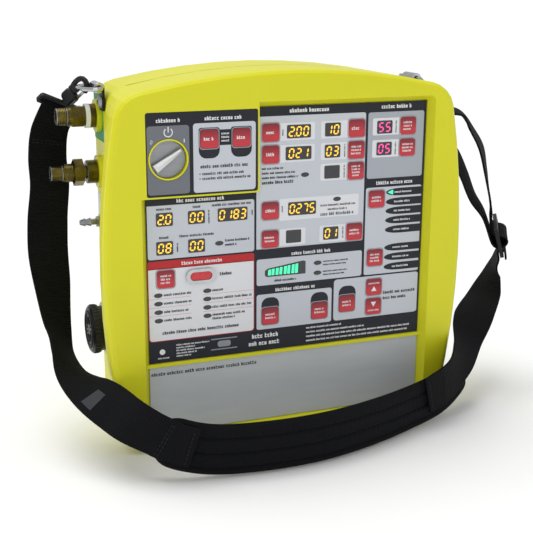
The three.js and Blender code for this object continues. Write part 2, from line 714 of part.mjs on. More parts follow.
// A station of the strap near a hook's loop: its distance along the hook and above the loop.
function hookPlace(hook, along, above) {
  const frame = loopFrame(hook);
  const width = new THREE.Vector3().setFromMatrixColumn(frame, 2);
  width.multiplyScalar(Math.sign(width.y));
  return [new THREE.Vector3(along, above, 0).applyMatrix4(frame).toArray(), width.toArray()];
}

// Stations of the strap folded round the outer bar of a hook's loop, from above the bar to
// below it; turn is -1 for a fold that starts below.
function hookFold(hook, turn) {
  const centre = HOOK.frameEnd - HOOK.bar / 2;
  const places = [hookPlace(hook, centre + 5, turn * HOOK.foldRadius)];
  for (const angle of [90, 135, 180, 225, 270]) {
    const radians = THREE.MathUtils.degToRad(angle);
    const along = centre + HOOK.foldRadius * Math.cos(radians);
    places.push(hookPlace(hook, along, turn * HOOK.foldRadius * Math.sin(radians)));
  }
  return places;
}

// A slab of a drawn outline whose edges are softened by a small bevel.
function softSlab(shape, thickness, bevel) {
  const geometry = new THREE.ExtrudeGeometry(shape, {
    depth: thickness - 2 * bevel,
    bevelThickness: bevel,
    bevelSize: bevel,
    bevelSegments: 1,
    curveSegments: 2,
  });
  return geometry.translate(0, 0, bevel - thickness / 2);
}

function hookArm() {
  const route = [[13, 3.2], [6, 5.8], [0, 6.2], [-4.8, 4], [-6.2, -0.8], [-3.8, -5], [0.4, -6]];
  const curve = new THREE.CatmullRomCurve3(route.map(([x, y]) => new THREE.Vector3(x, y, 0)));
  const section = new THREE.Shape().absarc(0, 0, HOOK.arm, 0, 2 * Math.PI);
  return new THREE.ExtrudeGeometry(section, {
    steps: 12,
    curveSegments: 4,
    bevelEnabled: false,
    extrudePath: curve,
  });
}

// The flat loop that holds the webbing, drawn about the hook's long axis.
function hookLoop() {
  const middle = (HOOK.frameStart + HOOK.frameEnd) / 2;
  const length = HOOK.frameEnd - HOOK.frameStart;
  const outline = roundedRect(middle, 0, length, 2 * HOOK.frameHalf, 2.4);
  outline.holes.push(roundedRect(middle, 0, length - 2 * HOOK.bar, 2 * (HOOK.frameHalf - HOOK.bar), 0.8));
  const loop = new THREE.ExtrudeGeometry(outline, { depth: 3, bevelEnabled: false, curveSegments: 3 });
  return loop.translate(0, 0, -1.5).rotateX(Math.PI / 2);
}

function snapHook(hook) {
  const length = HOOK.bodyEnd - HOOK.bodyStart;
  const bevel = 1.2;
  const middle = (HOOK.bodyStart + HOOK.bodyEnd) / 2;
  const body = softSlab(roundedRect(middle, 0, length - 2 * bevel, 13 - 2 * bevel, 2.5), 8, bevel);
  const web = softSlab(roundedRect(8.8, 2.6, 7, 7.2, 1.2), 4.4, 0.8);
  const swivelPin = barX(2.6, HOOK.bodyEnd - 1, HOOK.frameStart + 0.5, 0, 0, 12);
  const inHook = geometryOf(join(body, hookArm(), web, swivelPin)).applyMatrix4(hookFrame(hook));
  const inLoop = hookLoop().applyMatrix4(loopFrame(hook));
  addMesh(`${hook.prefix}_snap_hook`, geometryOf(join(inHook, inLoop)), LOOKS.black());
}

function hookGate(hook) {
  const gate = barX(HOOK.gate, HOOK.gateStart, HOOK.gatePivot, HOOK.gateY, 0, 8);
  addMesh(`${hook.prefix}_hook_gate`, gate.applyMatrix4(hookFrame(hook)), LOOKS.steel());
}

// ---------------------------------------------------------------- strap

// Bends a straight strip along a route. Each station holds a point of the centre line and the
// direction of the strip's width there.
function bentStrip(section, stations, steps) {
  const route = new THREE.CatmullRomCurve3(stations.map(([place]) => point(place)), false, 'centripetal');
  const widths = new THREE.CatmullRomCurve3(stations.map(([, width]) => point(width)));
  const settings = { depth: 1, steps, bevelEnabled: false, curveSegments: 2 };
  const strip = new THREE.ExtrudeGeometry(section, settings);
  const corner = strip.attributes.position;
  const local = new THREE.Vector3();
  for (let i = 0; i < corner.count; i += 1) {
    local.fromBufferAttribute(corner, i);
    const along = THREE.MathUtils.clamp(local.z, 0, 1);
    const tangent = route.getTangent(along);
    const width = widths.getPoint(along);
    width.addScaledVector(tangent, -width.dot(tangent)).normalize();
    const normal = new THREE.Vector3().crossVectors(tangent, width);
    const place = route.getPoint(along).addScaledVector(width, local.x).addScaledVector(normal, local.y);
    corner.setXYZ(i, place.x, place.y, place.z);
  }
  return strip;
}

function stripSection(width, thickness, corner) {
  const [w, t] = [width / 2, thickness / 2];
  const outline = [
    [-w, -t + corner], [-w + corner, -t], [w - corner, -t], [w, -t + corner],
    [w, t - corner], [w - corner, t], [-w + corner, t], [-w, t - corner],
  ];
  return new THREE.Shape(outline.map(([x, y]) => new THREE.Vector2(x, y)));
}

function ribbon(stations, steps) {
  const [w, t] = [WEBBING.width / 2, WEBBING.thickness / 2];
  const outline = [[-w, -t], [w, -t], [w, t], [-w, t]];
  return bentStrip(new THREE.Shape(outline.map(([x, y]) => new THREE.Vector2(x, y))), stations, steps);
}

// The slider: its own frame has `across` along the webbing's width, `down` along its height and
// `out` through its face.
const SLIDER = {
  centre: [254, 10, 148],
  across: [0.54, 0.84, 0],
  down: [0.3, 0, -0.954],
  width: 45,
  thickness: 3.6,
  bar: 5,
  slot: 9,
};

// A point of the slider's middle plane, moved out of its face and down its height.
function sliderPlace(out, down) {
  const downward = point(SLIDER.down).normalize();
  const across = point(SLIDER.across);
  across.addScaledVector(downward, -across.dot(downward)).normalize();
  const outward = new THREE.Vector3().crossVectors(downward, across);
  const place = point(SLIDER.centre).addScaledVector(outward, out).addScaledVector(downward, down);
  return [place.toArray(), across.toArray()];
}

// Stations of the strap, from the left hook round the front to the right hook.
const LEFT_WEBBING = [
  ...hookFold(LEFT_HOOK, 1),
  [[-186, 62, 270], [0.93, 0.35, -0.1]],
  [[-190, 59, 245], [0.95, 0.3, 0]],
  [[-189.5, 57, 220], [0.97, 0.25, 0]],
  [[-193, 57, 188], [0.97, 0.2, 0]],
  [[-195, 52, 161.5], [0.97, 0.2, -0.04]],
  [[-194, 46, 135], [0.94, 0.34, -0.08]],
  [[-194, 38, 114.5], [0.84, 0.49, -0.22]],
  [[-193.5, 27, 96], [0.73, 0.54, -0.42]],
  [[-193, 13, 83.5], [0.63, 0.45, -0.63]],
  [[-191.5, -6, 74], [0.74, 0.3, -0.6]],
  [[-188, -32, 67], [0.96, 0.23, -0.15]],
  [[-180.5, -58, 62.5], [0.9, 0.24, 0.37]],
  [[-171, -82, 58.5], [0.66, 0.18, 0.73]],
  [[-161, -105, 54], [0.5, 0.02, 0.87]],
  [[-145, -118, 45.5], [0.25, -0.1, 0.95]],
  [[-128, -123, 36], [0.08, -0.12, 0.99]],
  [[-113, -127.5, 31], [0.03, -0.12, 0.99]],
];
const PAD_STATIONS = [
  [[-138, -110.8, 38], [0.08, -0.1, 0.99]],
  [[-120, -118, 31], [0.05, -0.12, 0.99]],
  [[-95, -123.8, 25.8], [-0.02, -0.12, 0.99]],
  [[-50, -129.5, 24.4], [0, -0.12, 0.99]],
  [[0, -128.5, 24.4], [0.02, -0.12, 0.99]],
  [[50, -117, 24.4], [0.04, -0.12, 0.99]],
  [[100, -98.5, 24.8], [0.05, -0.12, 0.99]],
  [[145, -78, 27], [0.02, -0.1, 0.99]],
  [[170, -60, 31], [-0.03, -0.08, 0.99]],
  [[188, -44, 36], [-0.1, -0.05, 0.99]],
];
const RIGHT_WEBBING = [
  [[116, -100.4, 34], [-0.36, -0.17, 0.92]],
  [[146, -89, 44], [-0.32, -0.24, 0.92]],
  [[170, -69.5, 54.5], [-0.5, 0, 0.86]],
  [[193, -41, 70], [-0.7, 0.35, 0.6]],
  [[216, -16, 79], [-0.62, 0.74, 0.15]],
  [[241, 9.5, 89], [-0.4, 0.87, -0.1]],
  [[251.5, 15.5, 105], [0.1, 0.96, 0]],
  [[254.8, 14.8, 119.5], [0.45, 0.88, 0.13]],
  sliderPlace(-3.9, 18),
  sliderPlace(-3.5, 10.8),
  sliderPlace(0, 8.4),
  sliderPlace(3.5, 10.8),
  sliderPlace(3.8, 16),
  sliderPlace(3, 20),
];
const UPPER_LOOP = [
  ...hookFold(RIGHT_HOOK, -1),
  [[208, 18, 272], [0.55, 0.8, -0.1]],
  [[221, 16, 255], [0.6, 0.8, -0.05]],
  [[230, 13, 238], [0.6, 0.8, 0]],
  [[235, 11, 218.5], [0.56, 0.83, 0]],
  [[239, 10, 197], [0.5, 0.86, 0]],
  [[243, 10, 178], [0.5, 0.86, 0]],
  sliderPlace(-4.8, -15),
  sliderPlace(-3.6, -9.4),
  sliderPlace(0, -6.6),
  sliderPlace(6, -3.5),
  sliderPlace(8, 0.5),
  sliderPlace(5.5, 4.2),
  sliderPlace(0, 5.2),
  sliderPlace(-3.8, 4.2),
  sliderPlace(-6.2, 0.5),
  [[236, 14, 172], [0.55, 0.83, 0]],
  [[224, 15.5, 190], [0.62, 0.78, 0]],
  [[215, 17, 210], [0.66, 0.75, 0]],
  [[206, 18, 228], [0.66, 0.75, 0]],
  [[193, 17, 246], [0.6, 0.8, 0]],
];

function sliderBuckle() {
  const { centre, across, down, width, thickness, bar, slot } = SLIDER;
  const height = 3 * bar + 2 * slot;
  const plate = roundedRect(0, 0, width, height, 3);
  for (const side of [-1, 1]) {
    plate.holes.push(roundedRect(0, (side * (bar + slot)) / 2, width - 5, slot, 1));
  }
  const settings = { depth: thickness, bevelEnabled: false, curveSegments: 2 };
  const buckle = new THREE.ExtrudeGeometry(plate, settings);
  const downward = point(down).normalize();
  const outward = new THREE.Vector3().crossVectors(downward, point(across)).normalize();
  const alongBars = new THREE.Vector3().crossVectors(downward, outward);
  buckle.translate(0, 0, -thickness / 2).applyMatrix4(frameAt(point(centre), alongBars, outward));
  addMesh('slider_buckle', buckle, LOOKS.black());
}

function strap() {
  addMesh('left_webbing', ribbon(LEFT_WEBBING, 54), LOOKS.webbing());
  addMesh('right_webbing', ribbon(RIGHT_WEBBING, 90), LOOKS.webbing());
  addMesh('upper_loop', ribbon(UPPER_LOOP, 84), LOOKS.webbing());
  const padSection = stripSection(PAD.width, PAD.thickness, PAD.corner);
  addMesh('shoulder_pad', bentStrip(padSection, PAD_STATIONS, 24), LOOKS.webbing());
  sliderBuckle();
}

// ---------------------------------------------------------------- assembly

function carryingHardware() {
  for (const hook of [LEFT_HOOK, RIGHT_HOOK]) {
    ringBracket(`${hook.prefix}_ring_bracket`, hook.side);
    ring(`${hook.prefix}_ring`, hook.side, hook.fall);
    snapHook(hook);
    hookGate(hook);
  }
}

frontShell();
rearShell();
gasket();
mainOverlay();
startOverlay();
lowerPlate();
keys();
powerKnob();
powerSwitch();
alarmLamp();
insides();
oxygenInlet();
airInlet();
pressureBarb();
oxygenPlate();
filter();
patientOutlet();
powerSocket();
carryingHardware();
strap();

export default model;
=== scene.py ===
# Portable mechanical ventilator with its shoulder strap: the looks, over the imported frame.
# Metres, +Z up, the front faces -Y. Tables of the panel and strap are in millimetres.

import math

import bmesh
import bpy
from mathutils import Matrix, Vector


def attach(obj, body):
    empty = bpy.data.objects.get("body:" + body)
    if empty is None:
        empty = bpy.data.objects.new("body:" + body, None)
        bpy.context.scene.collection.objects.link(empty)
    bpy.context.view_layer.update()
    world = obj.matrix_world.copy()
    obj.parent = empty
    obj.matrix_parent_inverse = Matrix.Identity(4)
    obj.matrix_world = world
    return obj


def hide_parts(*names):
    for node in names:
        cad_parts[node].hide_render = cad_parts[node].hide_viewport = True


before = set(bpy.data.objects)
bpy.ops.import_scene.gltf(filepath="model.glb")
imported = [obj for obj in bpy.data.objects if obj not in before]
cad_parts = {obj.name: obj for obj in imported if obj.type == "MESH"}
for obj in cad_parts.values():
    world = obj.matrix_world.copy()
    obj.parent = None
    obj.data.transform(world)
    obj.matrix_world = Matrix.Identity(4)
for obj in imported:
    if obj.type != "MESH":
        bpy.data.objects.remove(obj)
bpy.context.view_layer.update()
MM = 0.001
HOUSING = "housing"

# ---- camera, lights and floor

LENS_MM = 70.73
CAMERA_PLACE = (-0.3375, -0.8777, 0.3971)
CAMERA_RIGHT = Vector((0.93476, -0.35525, 0.00392))
CAMERA_UP = Vector((0.08972, 0.24675, 0.96492))


def make_camera():
    data = bpy.data.cameras.new("camera")
    data.lens = LENS_MM
    data.sensor_width = 36
    data.clip_end = 400
    camera = bpy.data.objects.new("camera", data)
    bpy.context.collection.objects.link(camera)
    back = CAMERA_RIGHT.cross(CAMERA_UP).normalized()
    up = back.cross(CAMERA_RIGHT).normalized()
    turn = Matrix((CAMERA_RIGHT, up, back)).transposed()
    camera.matrix_world = Matrix.Translation(CAMERA_PLACE) @ turn.to_4x4()
    bpy.context.scene.camera = camera


SUN_DIRECTION, SUN_POWER, SUN_SPREAD = (0.25, -0.2, -1), 1.75, 50
KEY_LIGHT_PLACE, KEY_LIGHT_TARGET = Vector((-0.7, -1.3, 1.1)), Vector((0, 0, 0.15))
KEY_LIGHT_POWER, KEY_LIGHT_SIZE = 2.2, 0.9
WORLD_STRENGTH = 0.62
FLOOR_SIZE, FLOOR_DROP = 380, 0.0004


def add_light(name, kind, power, direction):
    data = bpy.data.lights.new(name, kind)
    data.energy = power
    light = bpy.data.objects.new(name, data)
    bpy.context.collection.objects.link(light)
    light.rotation_euler = Vector(direction).to_track_quat("-Z", "Y").to_euler()
    return light


def make_stage():
    world = bpy.data.worlds.new("studio")
    world.use_nodes = True
    background = world.node_tree.nodes["Background"]
    background.inputs["Color"].default_value = (1, 1, 1, 1)
    background.inputs["Strength"].default_value = WORLD_STRENGTH
    bpy.context.scene.world = world
    bpy.context.scene.view_settings.view_transform = "Standard"
    sun = add_light("overhead_sun", "SUN", SUN_POWER, SUN_DIRECTION)
    sun.data.angle = math.radians(SUN_SPREAD)
    key = add_light("key_light", "AREA", KEY_LIGHT_POWER, KEY_LIGHT_TARGET - KEY_LIGHT_PLACE)
    key.location = KEY_LIGHT_PLACE
    key.data.size = KEY_LIGHT_SIZE
    bpy.ops.mesh.primitive_plane_add(size=FLOOR_SIZE, location=(0, 0, -FLOOR_DROP))
    floor = bpy.context.object
    floor.name = "floor"
    floor.data.materials.append(painted("pale_floor", (0.92, 0.92, 0.92), 0.8, vary=0.005, scale=4))


# ---- materials

def srgb(text):
    """Linear colour from a hexadecimal screen colour; a linear colour stays as it is."""
    if not isinstance(text, str):
        return text
    values = [int(text[i:i + 2], 16) / 255 for i in (0, 2, 4)]
    return tuple(v / 12.92 if v <= 0.04045 else ((v + 0.055) / 1.055) ** 2.4 for v in values)


def shade(color, factor):
    """A colour made lighter or darker, as a shader's colour with alpha."""
    return tuple(min(1.0, c * factor) for c in srgb(color)) + (1.0,)


def feed(tree, made, **inputs):
    """Sets a node's inputs, each to a number or colour or to another node's output."""
    for name, value in inputs.items():
        socket = made.inputs[name.replace("_", " ")]
        if isinstance(value, bpy.types.NodeSocket):
            tree.links.new(value, socket)
        else:
            socket.default_value = value
    return made


def node(tree, kind, **inputs):
    return feed(tree, tree.nodes.new("ShaderNode" + kind), **inputs)


def ramp_between(tree, source, low, high, start=0.3, end=0.7):
    ramp = node(tree, "ValToRGB", Fac=source)
    for element, place, color in zip(ramp.color_ramp.elements, (start, end), (low, high)):
        element.position = place
        element.color = color
    return ramp.outputs["Color"]


def spread(tree, source, low, high):
    return node(tree, "MapRange", Value=source, To_Min=low, To_Max=high).outputs["Result"]


def bumped(tree, height, strength, distance):
    bump = node(tree, "Bump", Height=height, Strength=strength, Distance=distance)
    return bump.outputs["Normal"]


def new_material(name, specular):
    mat = bpy.data.materials.new(name)
    mat.use_nodes = True
    tree = mat.node_tree
    shader = feed(tree, tree.nodes["Principled BSDF"], Specular_IOR_Level=specular)
    return mat, tree, shader, node(tree, "TexCoord").outputs


GRAIN_DEPTH, GLOSS_SPREAD = 0.0004, 0.06


def painted(name, color, roughness, vary=0.06, scale=40, grain=0.0, grain_scale=900,
            metallic=0.0, coat=0.0, glow=0.0, stretch=(1, 1, 1), specular=0.5):
    """A moulded, painted or metal surface: soft mottling, uneven gloss and a fine grain."""
    mat, tree, shader, place = new_material(name, specular)
    where = node(tree, "Mapping", Vector=place["Object"], Scale=stretch).outputs["Vector"]
    mottle = node(tree, "TexNoise", Vector=where, Scale=scale, Detail=4.0).outputs["Fac"]
    tone = ramp_between(tree, mottle, shade(color, 1 - vary), shade(color, 1 + vary))
    gloss = spread(tree, mottle, roughness - GLOSS_SPREAD, roughness + GLOSS_SPREAD)
    feed(tree, shader, Base_Color=tone, Roughness=gloss, Metallic=metallic, Coat_Weight=coat)
    if grain:
        fine = node(tree, "TexNoise", Vector=where, Scale=grain_scale, Detail=2.0).outputs["Fac"]
        feed(tree, shader, Normal=bumped(tree, fine, grain, GRAIN_DEPTH))
    if glow:
        feed(tree, shader, Emission_Color=tone, Emission_Strength=glow)
    return mat


def key_material():
    """Red key cap with painted shade: darker towards its top edge, lighter towards its bottom edge."""
    mat = painted("key_red", "B5252A", 0.38, grain=0.15)
    tree = mat.node_tree
    axes = node(tree, "SeparateXYZ", Vector=node(tree, "TexCoord").outputs["Generated"])
    # painted shade: the cap's red darkens upwards along its height
    tone = ramp_between(tree, axes.outputs["Z"], shade("C4303A", 1), shade("8A1C2A", 1), 0.3, 0.9)
    feed(tree, tree.nodes["Principled BSDF"], Base_Color=tone)
    return mat


WAVE = 2 * math.pi / 20  # a wave texture of this scale repeats every metre
YARN_MM, DUST_AND_SHEEN_SHARE, WEAVE_DEPTH = 1.1, 0.4, 0.0005


def weighted_sum(tree, source, share, base):
    total = tree.nodes.new("ShaderNodeMath")
    total.operation = "MULTIPLY_ADD"
    total.inputs[1].default_value = share
    tree.links.new(source, total.inputs[0])
    tree.links.new(base, total.inputs[2])
    return total.outputs[0]


def webbing_material(name, color, rib_mm, yarn_share=0.12):
    """Woven webbing: ribs across the strap, a fine yarn along it, and high threads painted lighter with dust
    and a painted sheen.
    """
    mat, tree, shader, place = new_material(name, 0.16)
    weave = place["UV"]
    ribs = node(tree, "TexWave", Vector=weave, Scale=WAVE / (rib_mm * MM), Distortion=0.4, Detail=1.0,
                Detail_Scale=2.0)
    ribs.bands_direction = "Y"
    yarn = node(tree, "TexWave", Vector=weave, Scale=WAVE / (YARN_MM * MM), Distortion=0.3)
    dust_and_sheen = node(tree, "TexNoise", Vector=place["Object"], Scale=900.0, Detail=3.0).outputs["Fac"]
    blend = weighted_sum(tree, yarn.outputs["Fac"], yarn_share, ribs.outputs["Fac"])
    # raised threads and noise lighten the colour: dust and painted sheen
    high = weighted_sum(tree, dust_and_sheen, DUST_AND_SHEEN_SHARE, blend)
    feed(tree, shader, Base_Color=ramp_between(tree, high, shade(color, 0.3), shade(color, 1.4), 0.3, 1.25),
         Roughness=spread(tree, dust_and_sheen, 0.7, 0.92), Normal=bumped(tree, blend, 0.75, WEAVE_DEPTH))
    return mat


MATS = {
    "shell": painted("shell_yellow", "DAD822", 0.42, 0.025, 14, 0.12, 700, coat=0.06, specular=0.3),
    "overlay": painted("overlay_dark", "20222B", 0.45, 0.08, grain=0.1, specular=0.3),
    "plate": painted("plate_grey", "C2C7CA", 0.45, 0.03, 25, 0.1, stretch=(1, 1, 6)),
    "field": painted("field_silver", "C6CBD3", 0.45, 0.05, 9, 0.05),
    "pale": painted("field_pale", "DFE1E5", 0.45, 0.02, 9, 0.05),
    "mid": painted("field_mid", "A6ACB5", 0.45, 0.05, 9, 0.05),
    "slate": painted("field_slate", "6C7077", 0.42, 0.06, 9, 0.05),
    "window": painted("window_dark", "24262B", 0.25, 0.1, 120, coat=0.4),
    "ink": painted("ink_dark", "24262E", 0.5, 0.1, 200, specular=0.3),
    "white_ink": painted("ink_white", "E8E9EC", 0.5, 0.04, 200),
    "grey_ink": painted("ink_grey", "8C9098", 0.5, 0.06, 200),
    "red_ink": painted("ink_red", "B8141A", 0.45, 0.05, 60),
    "pink_ink": painted("ink_pink", "D98A90", 0.5, 0.05, 60),
    # grey ring round each key: painted highlight on the raised key edges
    "rim": painted("key_highlight_rim", "9EA1A9", 0.4, 0.05, 120, coat=0.2),
    "amber": painted("digit_amber", "FFC93A", 0.4, 0.04, 300, glow=0.75),
    "pink": painted("digit_pink", "FF4FA0", 0.4, 0.04, 300, glow=0.7),
    "green": painted("lamp_green", "45E6A6", 0.35, 0.06, 200, glow=0.8),
    "unlit": painted("digit_unlit", "3A3230", 0.35, 0.1, 300),
    "lamp_red": painted("lamp_red", "C01520", 0.2, 0.1, 300, coat=0.5, glow=0.15),
    "knob": painted("knob_silver", "96989C", 0.36, 0.08, 30, 0.1, metallic=0.55, stretch=(1, 1, 14)),
    # lighter copy of the knob's metal: painted highlight on the pointer ridge
    "knob_ridge_highlight": painted("knob_ridge_highlight", "D6D7D8", 0.24, 0.08, 30, 0.05, metallic=0.6),
    "brass": painted("aged_brass", "675C30", 0.3, 0.35, 160, 0.2, metallic=1.0),
    "steel": painted("bright_steel", "B9BBBD", 0.16, 0.1, 90, 0.05, metallic=1.0),
    "satin": painted("satin_steel", "8F9194", 0.38, 0.12, 120, 0.1, metallic=1.0),
    "screw": painted("screw_head", "9A9CA0", 0.3, 0.1, 200, 0.05, metallic=0.35),
    "gunmetal": painted("dark_screw", "55585E", 0.3, 0.15, 200, 0.1, metallic=1.0),
    "black": painted("black_plastic", "0D0E11", 0.42, 0.15, 60, 0.3, 1200, specular=0.35),
    "rubber": painted("black_rubber", "17181A", 0.7, 0.12, 60, 0.3),
    "white": painted("white_plastic", "E9EAE6", 0.4, 0.03, 60, 0.08),
    "plate_green": painted("green_plate", "1B9450", 0.5, 0.08, 60, 0.1, specular=0.2),
    "board": painted("board_green", "1F5A34", 0.5, 0.2, 300, 0.2),
    "thread": painted("stitch_thread", "101115", 0.75, 0.2, 900, 0.4),
    "tag": painted("woven_tag", "303238", 0.85, 0.3, 1500, 0.5),
    "key": key_material(),
    "webbing": webbing_material("strap_webbing", "08090D", 2.0),
    "pad": webbing_material("pad_nylon", "08090D", 0.9, 0.9),
}

NODE_LOOKS = {
    "shell": "front_shell rear_shell",
    "rubber": "shell_gasket",
    "overlay": "main_overlay start_overlay",
    "plate": "lower_plate",
    "board": "display_board control_board",
    "black": "battery_pack alarm_sounder power_switch filter_cup filter_cap power_socket left_ring_bracket "
             "right_ring_bracket left_snap_hook right_snap_hook slider_buckle",
    "steel": "gas_manifold oxygen_valve air_valve alarm_bezel left_ring right_ring left_hook_gate "
             "right_hook_gate",
    "satin": "pressure_barb",
    "lamp_red": "alarm_lens",
    "knob": "power_knob",
    "brass": "oxygen_inlet air_inlet",
    "white": "oxygen_collar patient_outlet",
    "plate_green": "oxygen_plate",
}
# Widths of the rounded edges.
SOFT_EDGES = {"front_shell": 0.9, "rear_shell": 0.9, "filter_cap": 0.5, "slider_buckle": 0.5,
              "left_snap_hook": 0.4, "right_snap_hook": 0.4, "power_knob": 0.5, "power_socket": 0.4}
KEY_EDGE_WIDTH = 0.45


def dress_nodes():
    for look, names in NODE_LOOKS.items():
        for name in names.split():
            wear(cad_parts[name], MATS[look])
    for name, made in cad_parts.items():
        if name.startswith("key_"):
            wear(made, MATS["key"])
            soften(made, KEY_EDGE_WIDTH, 2)
        elif name in SOFT_EDGES:
            soften(made, SOFT_EDGES[name], 3)
        smooth(made)


def wear(made, mat):
    made.data.materials.clear()
    made.data.materials.append(mat)


def smooth(made):
    for face in made.data.polygons:
        face.use_smooth = True
    split = made.modifiers.new("crisp_edges", "EDGE_SPLIT")
    split.split_angle = math.radians(35)


def soften(made, width_mm, segments):
    bevel = made.modifiers.new("soft_edges", "BEVEL")
    bevel.width = width_mm * MM
    bevel.segments = segments
    bevel.limit_method = "ANGLE"
    bevel.angle_limit = math.radians(40)


# ---- mesh building

def finish_piece(name, bm, look, body=HOUSING, flat=False):
    mesh = bpy.data.meshes.new(name)
    bmesh.ops.recalc_face_normals(bm, faces=bm.faces)
    bm.to_mesh(mesh)
    bm.free()
    made = bpy.data.objects.new(name, mesh)
    bpy.context.collection.objects.link(made)
    mesh.materials.append(MATS[look])
    if not flat:
        smooth(made)
    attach(made, body)
    return made


def new_verts(bm, points):
    """Vertices at points in millimetres."""
    return [bm.verts.new([c * MM for c in point]) for point in points]


def bridge(bm, low, high):
    """Faces between two rings of as many vertices."""
    for i in range(len(low)):
        j = (i + 1) % len(low)
        bm.faces.new((low[i], low[j], high[j], high[i]))


def around(count, start=0.0):
    """Even angles of a full turn."""
    return [start + 2 * math.pi * k / count for k in range(count)]


def arc(start, end, steps):
    """Even angles from one number of degrees to another."""
    return [math.radians(start + (end - start) * i / steps) for i in range(steps + 1)]


def curve(u, v, half_width, half_height, angles):
    """Points of an ellipse round (u, v)."""
    return [(u + half_width * math.cos(a), v + half_height * math.sin(a)) for a in angles]


def prism(bm, outline, front, back):
    """A closed plate from an outline in (x, z) millimetres, between two depths along Y."""
    near, far = (new_verts(bm, [(x, y, z) for x, z in outline]) for y in (front, back))
    bm.faces.new(near)
    bm.faces.new(far[::-1])
    bridge(bm, near, far)


def rounded(u0, u1, v0, v1, radius, steps=4):
    """Corner points of a rounded rectangle; radius may be one number or four (lower left first)."""
    radii = [radius] * 4 if isinstance(radius, (int, float)) else radius
    corners = [(u0, v0, 180), (u1, v0, 270), (u1, v1, 0), (u0, v1, 90)]
    points = []
    for (u, v, start), r in zip(corners, radii):
        if r <= 0:
            points.append((u, v))
            continue
        cu = u + r if u == u0 else u - r
        cv = v + r if v == v0 else v - r
        points += curve(cu, cv, r, r, arc(start, start + 90, steps))
    return points


def ellipse(u, v, width, height, steps=20):
    return curve(u, v, width / 2, height / 2, around(steps))


PANEL_X, PANEL_Z = -130.0, 79.0  # origin of the panel coordinates (u, v)
MAIN_Y, ISLAND_Y = -51.5, -59.0  # the faces of the main panel and of its raised corner
SUNK = 0.02  # how far print reaches into the face under it


def on_panel(outline):
    return [(PANEL_X + u, PANEL_Z + v) for u, v in outline]


def printed(name, look, outlines, proud, base=MAIN_Y, body=HOUSING, under=SUNK):
    """Thin raised print: outlines in panel coordinates, standing proud of a face at depth base."""
    bm = bmesh.new()
    for outline in outlines:
        prism(bm, on_panel(outline), base - proud, base + under)
    finish_piece(name, bm, look, body, flat=True)


def framed(bm, outer, inner, front, back):
    """A closed ring between two outlines of equal point count."""
    corners = ((outer, front), (inner, front), (inner, back), (outer, back))
    rings = [new_verts(bm, [(x, y, z) for x, z in outline]) for outline, y in corners]
    for near, far in zip(rings, rings[1:] + rings[:1]):
        bridge(bm, near, far)


# Shares of a line's height, then of a letter's pitch.
LETTER_PITCH, LETTER_STROKE, LETTER_DROP, LETTER_HEIGHT, TALL_LETTER = 0.62, 0.19, 0.42, 0.68, 0.95
LETTER_WIDTH, WORD_SPACE = 0.74, 0.65


class Marks:
    """Rows of small unreadable strokes that stand for lines of print."""

    def __init__(self, seed):
        self.state = seed

    def next(self):
        self.state = (self.state * 1103515245 + 12345) % 2147483648
        return self.state / 2147483648

    def line(self, u0, u1, v, height, along_v=False):
        boxes = []
        pitch = height * LETTER_PITCH
        stroke = height * LETTER_STROKE
        low = v - height * LETTER_DROP
        top = low + height * LETTER_HEIGHT
        place = u0
        left_in_word = 3 + int(self.next() * 6)
        while place + pitch * 0.8 <= u1:
            if left_in_word == 0:
                left_in_word = 3 + int(self.next() * 6)
                place += pitch * WORD_SPACE
                continue
            right = place + pitch * LETTER_WIDTH
            tall = low + height * TALL_LETTER if self.next() > 0.7 else top
            kind = int(self.next() * 5)
            boxes.append((place, place + stroke, low, tall))
            if kind in (0, 2, 4):
                boxes.append((right - stroke, right, low, top))
            if kind in (0, 1, 3):
                boxes.append((place + stroke, right - stroke * (kind == 0), low, low + stroke))
            if kind > 0:
                boxes.append((place + stroke, right - stroke * (kind in (2, 4)), top - stroke, top))
            place += pitch
            left_in_word -= 1
        outlines = []
        for a0, a1, b0, b1 in boxes:
            if along_v:
                a0, a1, b0, b1 = 2 * v - b1, 2 * v - b0, a0, a1
            outlines.append(rounded(a0, a1, b0, b1, 0))
        return outlines


marks = Marks(41)


def text_rows(rows, along_v=False):
    """Print in rows of (from u, to u, middle v, height), or with u and v swapped when it runs upwards."""
    return [outline for row in rows for outline in marks.line(*row, along_v)]


# ---- number displays

SEGMENTS = {"0": "abcdef", "1": "bc", "2": "abged", "3": "abgcd", "5": "afgcd", "7": "abc", "8": "abcdefg"}
DIGIT_HEIGHT, DIGIT_WIDTH, STROKE, SLANT, SEGMENT_GAP = 8.6, 5.0, 1.15, 0.13, 0.28


def bar_outline(x0, z0, x1, z1):
    """A pointed segment between two points."""
    along = Vector((x1 - x0, z1 - z0)).normalized()
    side = Vector((-along.y, along.x)) * STROKE / 2
    a = Vector((x0, z0)) + along * SEGMENT_GAP
    b = Vector((x1, z1)) - along * SEGMENT_GAP
    tip = along * STROKE / 2
    points = [a, a + tip + side, b - tip + side, b, b - tip - side, a + tip - side]
    return [(p.x, p.y) for p in points]


def digit(char, u, v, lit=True):
    """Segments of one digit; (u, v) is its lower left corner."""
    w, h = DIGIT_WIDTH - STROKE, DIGIT_HEIGHT - STROKE
    lines = {"a": (0, h, w, h), "b": (w, h / 2, w, h), "c": (w, 0, w, h / 2), "d": (0, 0, w, 0),
             "e": (0, 0, 0, h / 2), "f": (0, h / 2, 0, h), "g": (0, h / 2, w, h / 2)}
    outlines = []
    for key, (x0, z0, x1, z1) in lines.items():
        if (key in SEGMENTS[char]) == lit:
            outline = bar_outline(x0, z0, x1, z1)
            outlines.append([(u + x + STROKE / 2 + SLANT * z, v + z + STROKE / 2) for x, z in outline])
    return outlines


